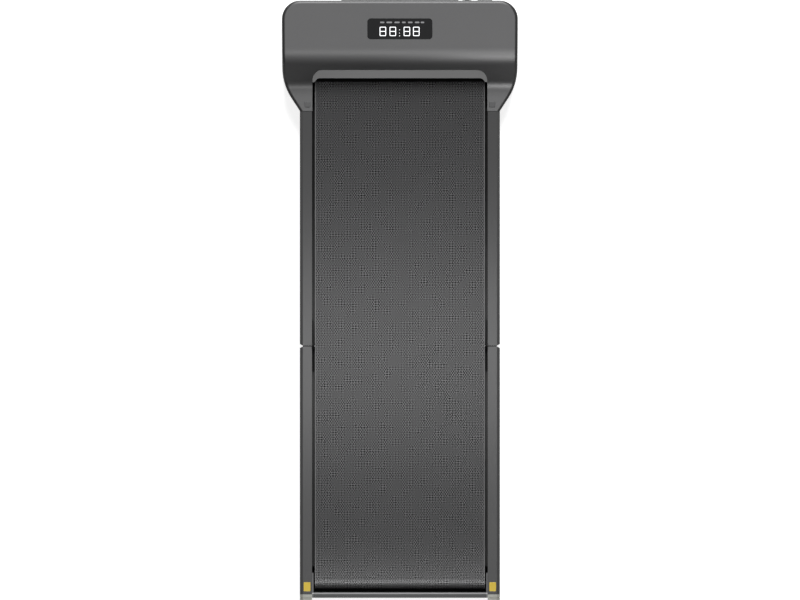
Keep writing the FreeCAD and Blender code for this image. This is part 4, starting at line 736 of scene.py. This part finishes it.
class PAD_OT_underside_screws(bpy.types.Operator):
    """Add the cross-head screws that hold the underside plates and the tray"""
    bl_idname = "walking_pad.underside_screws"
    bl_label = "Underside screws"

    def execute(self, context):
        sizes = context.scene.walking_pad.sizes
        pattern = self.screw(sizes.screw_radius, sizes.screw_height)
        plate_low, plate_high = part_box("front_bottom_plate")
        rear_low, rear_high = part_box("rear_bottom_plate")
        tray_low, tray_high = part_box("base_tray")
        inset = sizes.screw_radius * 2.6
        front = self.row(plate_low, plate_high, inset)
        side_places = (0.075, 0.150)
        for side in (-1, 1):
            front += [(side * sizes.tray_screw_across, tray_low.y + along) for along in side_places]
        for side in (-1, 1):
            front.append((side * sizes.tray_end_across, tray_high.y - sizes.tray_end_inset))
        rear = self.row(rear_low, rear_high, inset)
        material = make_material(
            "screw_steel", bpy.data.node_groups["Drawn metal"], (0.20, 0.20, 0.205, 1.0),
            0.42, 2600.0, 0.3, 0.00004, metallic=0.9,
        )
        level = plate_low.z
        for name, body, places in (("front", "base", front), ("rear", "rear_deck", rear)):
            screws = []
            for x, y in places:
                uneven_turn = x * 7.0 + y * 11.0
                screws.append(copy_to(pattern, "screw", Vector((x, y, level)), uneven_turn))
            screws = join(screws, f"underside_screws_{name}")
            smooth(screws, 35)
            dress(screws, material)
            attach(screws, body)
        bpy.data.objects.remove(pattern)
        return {"FINISHED"}

    def row(self, low, high, inset):
        """Places of the screws along both long edges of a plate."""
        count = 4
        step = (high.y - low.y - 2 * inset) / (count - 1)
        lines = (low.x + inset, high.x - inset)
        return [(x, low.y + inset + step * index) for x in lines for index in range(count)]

    def screw(self, radius, height):
        """A domed head under the origin with a cross recess."""
        clear_selection()
        bpy.ops.mesh.primitive_cylinder_add(
            vertices=24, radius=radius, depth=height,
            location=(0.0, 0.0, -height / 2), end_fill_type="TRIFAN",
        )
        screw = bpy.context.object
        screw.name = "screw_pattern"
        settle(screw)
        bpy.ops.object.mode_set(mode="EDIT")
        pick(screw, "EDGE", lambda place, way: place.z < -height * 0.9 and place.xy.length > radius * 0.9)
        bpy.ops.mesh.bevel(offset=height * 0.6, segments=4, affect="EDGES")
        bpy.ops.object.mode_set(mode="OBJECT")
        for name, long, wide in (("slot_one", 1.3, 0.26), ("slot_two", 0.26, 1.3)):
            size = Vector((radius * long, radius * wide, height)) / 2
            slot = start_box(name, -size, size)
            bpy.ops.transform.translate(value=(0.0, 0.0, -height))
            settle(slot)
            apply_modifier(screw, "BOOLEAN", object=slot, operation="DIFFERENCE", solver="EXACT")
            bpy.data.objects.remove(slot)
        return screw


class PAD_OT_finishes(bpy.types.Operator):
    """Give every solid its procedural finish"""
    bl_idname = "walking_pad.finishes"
    bl_label = "Finishes"

    def execute(self, context):
        colours = context.scene.walking_pad.colours
        grain = moulded_grain()
        metal = drawn_metal()
        black = (0.020, 0.020, 0.021, 1.0)
        dull = (0.012, 0.012, 0.012, 1.0)
        # Near-black for painted shade: pieces seen in gaps and the dark strips laid in them take it.
        shade = (0.006, 0.006, 0.006, 1.0)
        # Each row: name, colour, roughness, grain, drift and bump, then metallic and specular level.
        moulded = {
            "head_plastic": ("head_satin_plastic", colours.head, 0.42, 1500.0, 0.06, 0.00003, 0.0, 0.25),
            "tray_plastic": ("tray_coarse_plastic", (0.045, 0.045, 0.046, 1.0), 0.6, 900.0, 0.12, 0.00012),
            "trim_plastic": ("lip_satin", colours.lip, 0.45, 1500.0, 0.06, 0.00002, 0.0, 0.34),
            "display_gloss": ("window_smoked", colours.window, 0.2, 2400.0, 0.05, 0.000004),
            "bumper_plastic": ("bumper_satin", colours.bumper, 0.45, 1500.0, 0.08, 0.00003),
            "rail_paint": ("rail_powder_coat", colours.rail, 0.40, 1900.0, 0.08, 0.00005, 0.0, 0.25),
            "deck_board": ("deck_black_board", (0.05, 0.045, 0.04, 1.0), 0.55, 420.0, 0.3, 0.0001),
            "cushion_rubber": ("cushion_moulded", black, 0.75, 800.0, 0.2, 0.0001),
            "foot_rubber": ("foot_moulded", black, 0.8, 800.0, 0.25, 0.0001),
            "wheel_rubber": ("wheel_moulded", (0.03, 0.03, 0.031, 1.0), 0.6, 900.0, 0.2, 0.00008),
            "frame_steel": ("frame_black_paint", black, 0.45, 1200.0, 0.15, 0.00005, 0.0, 0.2),
            "plate_steel": ("plate_black_paint", black, 0.5, 1400.0, 0.15, 0.00006, 0.0, 0.2),
            "hinge_steel": ("hinge_black_paint", dull, 0.6, 1200.0, 0.2, 0.00004, 0.0, 0.1),
            "motor_paint": ("motor_black_paint", black, 0.4, 700.0, 0.2, 0.00008),
            "board_resin": ("board_green_resin", (0.02, 0.1, 0.045, 1.0), 0.35, 300.0, 0.4, 0.00005),
            "socket_plastic": ("socket_moulded", black, 0.45, 1400.0, 0.1, 0.00004),
            "rocker_plastic": ("rocker_gloss", (0.025, 0.025, 0.026, 1.0), 0.25, 2000.0, 0.1, 0.00001),
            "button_plastic": ("button_moulded", (0.4, 0.4, 0.39, 1.0), 0.4, 1400.0, 0.1, 0.00003),
            "cap_plastic": ("cap_pale_plastic", colours.cap, 0.48, 1400.0, 0.08, 0.00004),
            "guard_plastic": ("guard_satin", colours.guard, 0.35, 1400.0, 0.08, 0.00004, 0.0, 0.6),
            "block_plastic": ("block_moulded", (0.07, 0.07, 0.07, 1.0), 0.5, 900.0, 0.1, 0.00006),
        }
        drawn = {
            "shaft_steel": ("shaft_ground", (0.42, 0.42, 0.43, 1.0), 0.28, 1600.0, 0.15, 0.00002, 1.0),
            "roller_steel": ("roller_turned", (0.40, 0.40, 0.41, 1.0), 0.32, 1600.0, 0.2, 0.00002, 1.0),
            "pulley_metal": ("pulley_turned", (0.52, 0.52, 0.53, 1.0), 0.34, 1600.0, 0.2, 0.00002, 1.0),
            "heatsink_metal": ("heatsink_drawn", (0.5, 0.5, 0.51, 1.0), 0.4, 1200.0, 0.2, 0.00003, 1.0),
        }
        finishes = {slot: make_material(name, grain, *look) for slot, (name, *look) in moulded.items()}
        finishes.update({slot: make_material(name, metal, *look) for slot, (name, *look) in drawn.items()})
        rail_channel_shade_reach = 0.2069
        guard_arm_highlight_reach = 0.2033
        guard_highlight_band = (-0.6902, -0.6872)
        # Painted shade: the rails' inner channel beside the belt is darkened to 0.12 of the coat, standing in for
        # the shade in that gap.
        paint_light_by_reach(finishes["rail_paint"], rail_channel_shade_reach, inside=0.12, outside=1.0)
        # Painted highlight: the guard's side arms are lightened to 2.2 times its colour, standing in for light
        # caught on their tops.
        paint_light_by_reach(finishes["guard_plastic"], guard_arm_highlight_reach, inside=1.0, outside=2.2)
        # Painted highlight: a band along the guard's front top edge is lightened 3.6 times, standing in for light
        # on its bevel.
        paint_highlight_line(finishes["guard_plastic"], *guard_highlight_band, lift=2.6)
        # Painted shade: the head's side walls darken to 0.2 of the colour as they turn sideways, standing in for
        # the shade they fall in.
        paint_side_wall_shade(finishes["head_plastic"], start=0.03, end=0.35, shade=0.2)
        # Painted shade: a near-black, low-specular finish that pieces seen through gaps take instead of their own,
        # so those gaps read as shade.
        painted_shade_finish = make_material("painted_shade_black", grain, shade, 0.9, 900.0, 0.3, 0.00005, 0.0, 0.1)
        painted_shade_nodes = ("rail_buffers", "idler_axle", "idler_bearings", "idler_roller", "hinge_pins")
        for row in frame["record"]["subparts"]:
            solid = frame["nodes"][row["node"]]
            finish = finishes.get(row["material_slot"])
            if row["node"] in painted_shade_nodes:
                finish = painted_shade_finish
            if finish:
                for holder in solid.material_slots:
                    holder.material = finish
        return {"FINISHED"}


class PAD_OT_studio(bpy.types.Operator):
    """Set the pale floor, the soft lights and the camera straight above"""
    bl_idname = "walking_pad.studio"
    bl_label = "Studio"

    def execute(self, context):
        scene = context.scene
        scene.view_settings.view_transform = "Standard"
        self.lay_floor()
        self.set_world(scene)
        rails = ["front_rail_left", "front_rail_right", "rear_rail_left", "rear_rail_right"]
        ends = ["rear_end_cap_left", "rear_end_cap_right", "corner_tile_left", "corner_tile_right"]
        # Each lamp: name, place, target, width, depth and power, then the pieces that alone take it.
        self.softbox("front_softbox", (0.5, 6.2, 5.1), (0.0, 0.0, 0.06), 3.2, 2.4, 640.0)
        self.softbox("belt_card", (0.0, -0.13, 0.82), (0.0, -0.13, 0.06), 1.1, 0.42, 10.0,
                     ["running_belt"] + rails)
        self.softbox("front_card", (0.0, 2.6, 1.5), (0.0, 0.7, 0.12), 3.0, 1.8, 70.0, ["head_cover"])
        self.softbox("crest_card", (0.0, -0.43, 2.12), (0.0, 0.58, 0.13), 2.4, 0.4, 48.0, ["head_cover"])
        self.softbox("shoulder_card", (0.3, 0.08, 0.57), (0.235, 0.5, 0.07), 0.25, 0.25, 5.0, ["head_cover"])
        self.softbox("rear_strip", (0.0, -1.25, 0.72), (0.0, -0.66, 0.05), 1.0, 0.55, 18.0,
                     ["rear_guard"] + ends)
        self.softbox("end_card", (0.0, -0.80, 0.25), (0.0, -0.80, 0.0), 1.0, 0.12, 5.0, ["running_belt"])
        self.softbox("lip_card", (0.0, -2.3, 1.1), (0.0, 0.53, 0.07), 1.6, 0.7, 85.0, ["mouth_trim"])
        self.softbox("tail_card", (0.0, -0.66, 0.82), (0.0, -0.66, 0.06), 1.1, 0.25, 2.6, rails + ends)
        self.aim_camera(scene)
        return {"FINISHED"}

    def lay_floor(self):
        """A wide pale floor that looks white to the camera and keeps the shadow."""
        clear_selection()
        floor_width = 80.0
        bpy.ops.mesh.primitive_grid_add(
            x_subdivisions=8, y_subdivisions=8, size=floor_width, location=(0.0, 0.0, 0.0),
        )
        floor = bpy.context.object
        floor.name = "studio_floor"
        material = bpy.data.materials.new("floor_pale_paper")
        material.use_nodes = True
        tree = material.node_tree
        end = tree.nodes["Material Output"]
        paper = tree.nodes["Principled BSDF"]
        paper.inputs["Base Color"].default_value = (0.8, 0.8, 0.8, 1.0)
        paper.inputs["Roughness"].default_value = 1.0
        paper.inputs["Specular IOR Level"].default_value = 0.0
        glow = tree.nodes.new("ShaderNodeEmission")
        glow.inputs["Strength"].default_value = 0.8
        ray = tree.nodes.new("ShaderNodeLightPath")
        glossy = ray.outputs["Is Glossy Ray"]
        mirrored = add_math(tree, "MAXIMUM", glossy, ray.outputs["Is Transmission Ray"])
        dimmed = add_math(tree, "MULTIPLY", mirrored, 0.3)
        seen = add_math(tree, "MAXIMUM", ray.outputs["Is Camera Ray"], dimmed)
        lit = tree.nodes.new("ShaderNodeAddShader")
        tree.links.new(paper.outputs[0], lit.inputs[0])
        tree.links.new(glow.outputs[0], lit.inputs[1])
        choice = tree.nodes.new("ShaderNodeMixShader")
        tree.links.new(seen, choice.inputs[0])
        tree.links.new(paper.outputs[0], choice.inputs[1])
        tree.links.new(lit.outputs[0], choice.inputs[2])
        tree.links.new(choice.outputs[0], end.inputs["Surface"])
        dress(floor, material)

    def set_world(self, scene):
        """Even light from all round."""
        world = bpy.data.worlds.new("studio_air")
        world.use_nodes = True
        sky = world.node_tree.nodes["Background"]
        sky.inputs["Color"].default_value = (1.0, 1.0, 1.0, 1.0)
        sky.inputs["Strength"].default_value = 0.16
        scene.world = world

    def softbox(self, name, place, target, wide, deep, power, sheen_on=()):
        """A soft lamp, or a card that shows only as a sheen on the named pieces. The camera sees neither."""
        clear_selection()
        aim = Vector(target) - Vector(place)
        turn = aim.to_track_quat("-Z", "Y").to_euler()
        bpy.ops.object.light_add(type="AREA", location=place, rotation=turn)
        lamp = bpy.context.object
        lamp.name = name
        lamp.data.shape = "RECTANGLE"
        lamp.data.size = wide
        lamp.data.size_y = deep
        lamp.data.energy = power
        lamp.visible_camera = False
        if sheen_on:
            lamp.visible_diffuse = False
            takers = bpy.data.collections.new(f"{name}_takers")
            for taker in sheen_on:
                takers.objects.link(bpy.data.objects[taker])
            lamp.light_linking.receiver_collection = takers

    def aim_camera(self, scene):
        """A long lens straight above the pad, so that nothing converges."""
        clear_selection()
        lens = 1000.0
        sensor = 36.0
        seen_width = 800 * 0.002355
        away = seen_width * lens / sensor
        place = (0.0003, 0.0024, RAIL_HIGH.z + away)
        bpy.ops.object.camera_add(location=place, rotation=(0.0, 0.0, 0.0))
        camera = bpy.context.object
        camera.name = "studio_camera"
        camera.data.lens = lens
        camera.data.sensor_width = sensor
        camera.data.clip_end = 200.0
        scene.camera = camera


class PAD_PT_sidebar(bpy.types.Panel):
    """Lists the walking pad's pieces and settings"""
    bl_label = "Walking pad"
    bl_idname = "PAD_PT_sidebar"
    bl_space_type = "VIEW_3D"
    bl_region_type = "UI"
    bl_category = "Walking pad"

    def draw(self, context):
        settings = context.scene.walking_pad
        for operator in OPERATORS:
            self.layout.operator(operator.bl_idname)
        for group in (settings.sizes, settings.colours):
            column = self.layout.column()
            for key in group.__annotations__:
                column.prop(group, key)


OPERATORS = (
    PAD_OT_finishes, PAD_OT_running_belt, PAD_OT_display_marks, PAD_OT_corner_tiles,
    PAD_OT_shoulder_pads, PAD_OT_seals, PAD_OT_underside_screws, PAD_OT_studio,
)
GROUPS = (WalkingPadSizes, WalkingPadColours, WalkingPadSettings)


def register():
    """Make the settings, the operators and the panel known to Blender."""
    for group in GROUPS:
        bpy.utils.register_class(group)
    bpy.types.Scene.walking_pad = PointerProperty(type=WalkingPadSettings)
    for operator in OPERATORS:
        bpy.utils.register_class(operator)
    bpy.utils.register_class(PAD_PT_sidebar)


def unregister():
    """Take the panel, the operators and the settings away again."""
    bpy.utils.unregister_class(PAD_PT_sidebar)
    for operator in reversed(OPERATORS):
        bpy.utils.unregister_class(operator)
    del bpy.types.Scene.walking_pad
    for group in reversed(GROUPS):
        bpy.utils.unregister_class(group)


def main():
    """Build every piece."""
    register()
    bpy.ops.walking_pad.finishes()
    bpy.ops.walking_pad.running_belt()
    bpy.ops.walking_pad.display_marks()
    bpy.ops.walking_pad.corner_tiles()
    bpy.ops.walking_pad.shoulder_pads()
    bpy.ops.walking_pad.seals()
    bpy.ops.walking_pad.underside_screws()
    bpy.ops.walking_pad.studio()


if __name__ == "__main__":
    main()
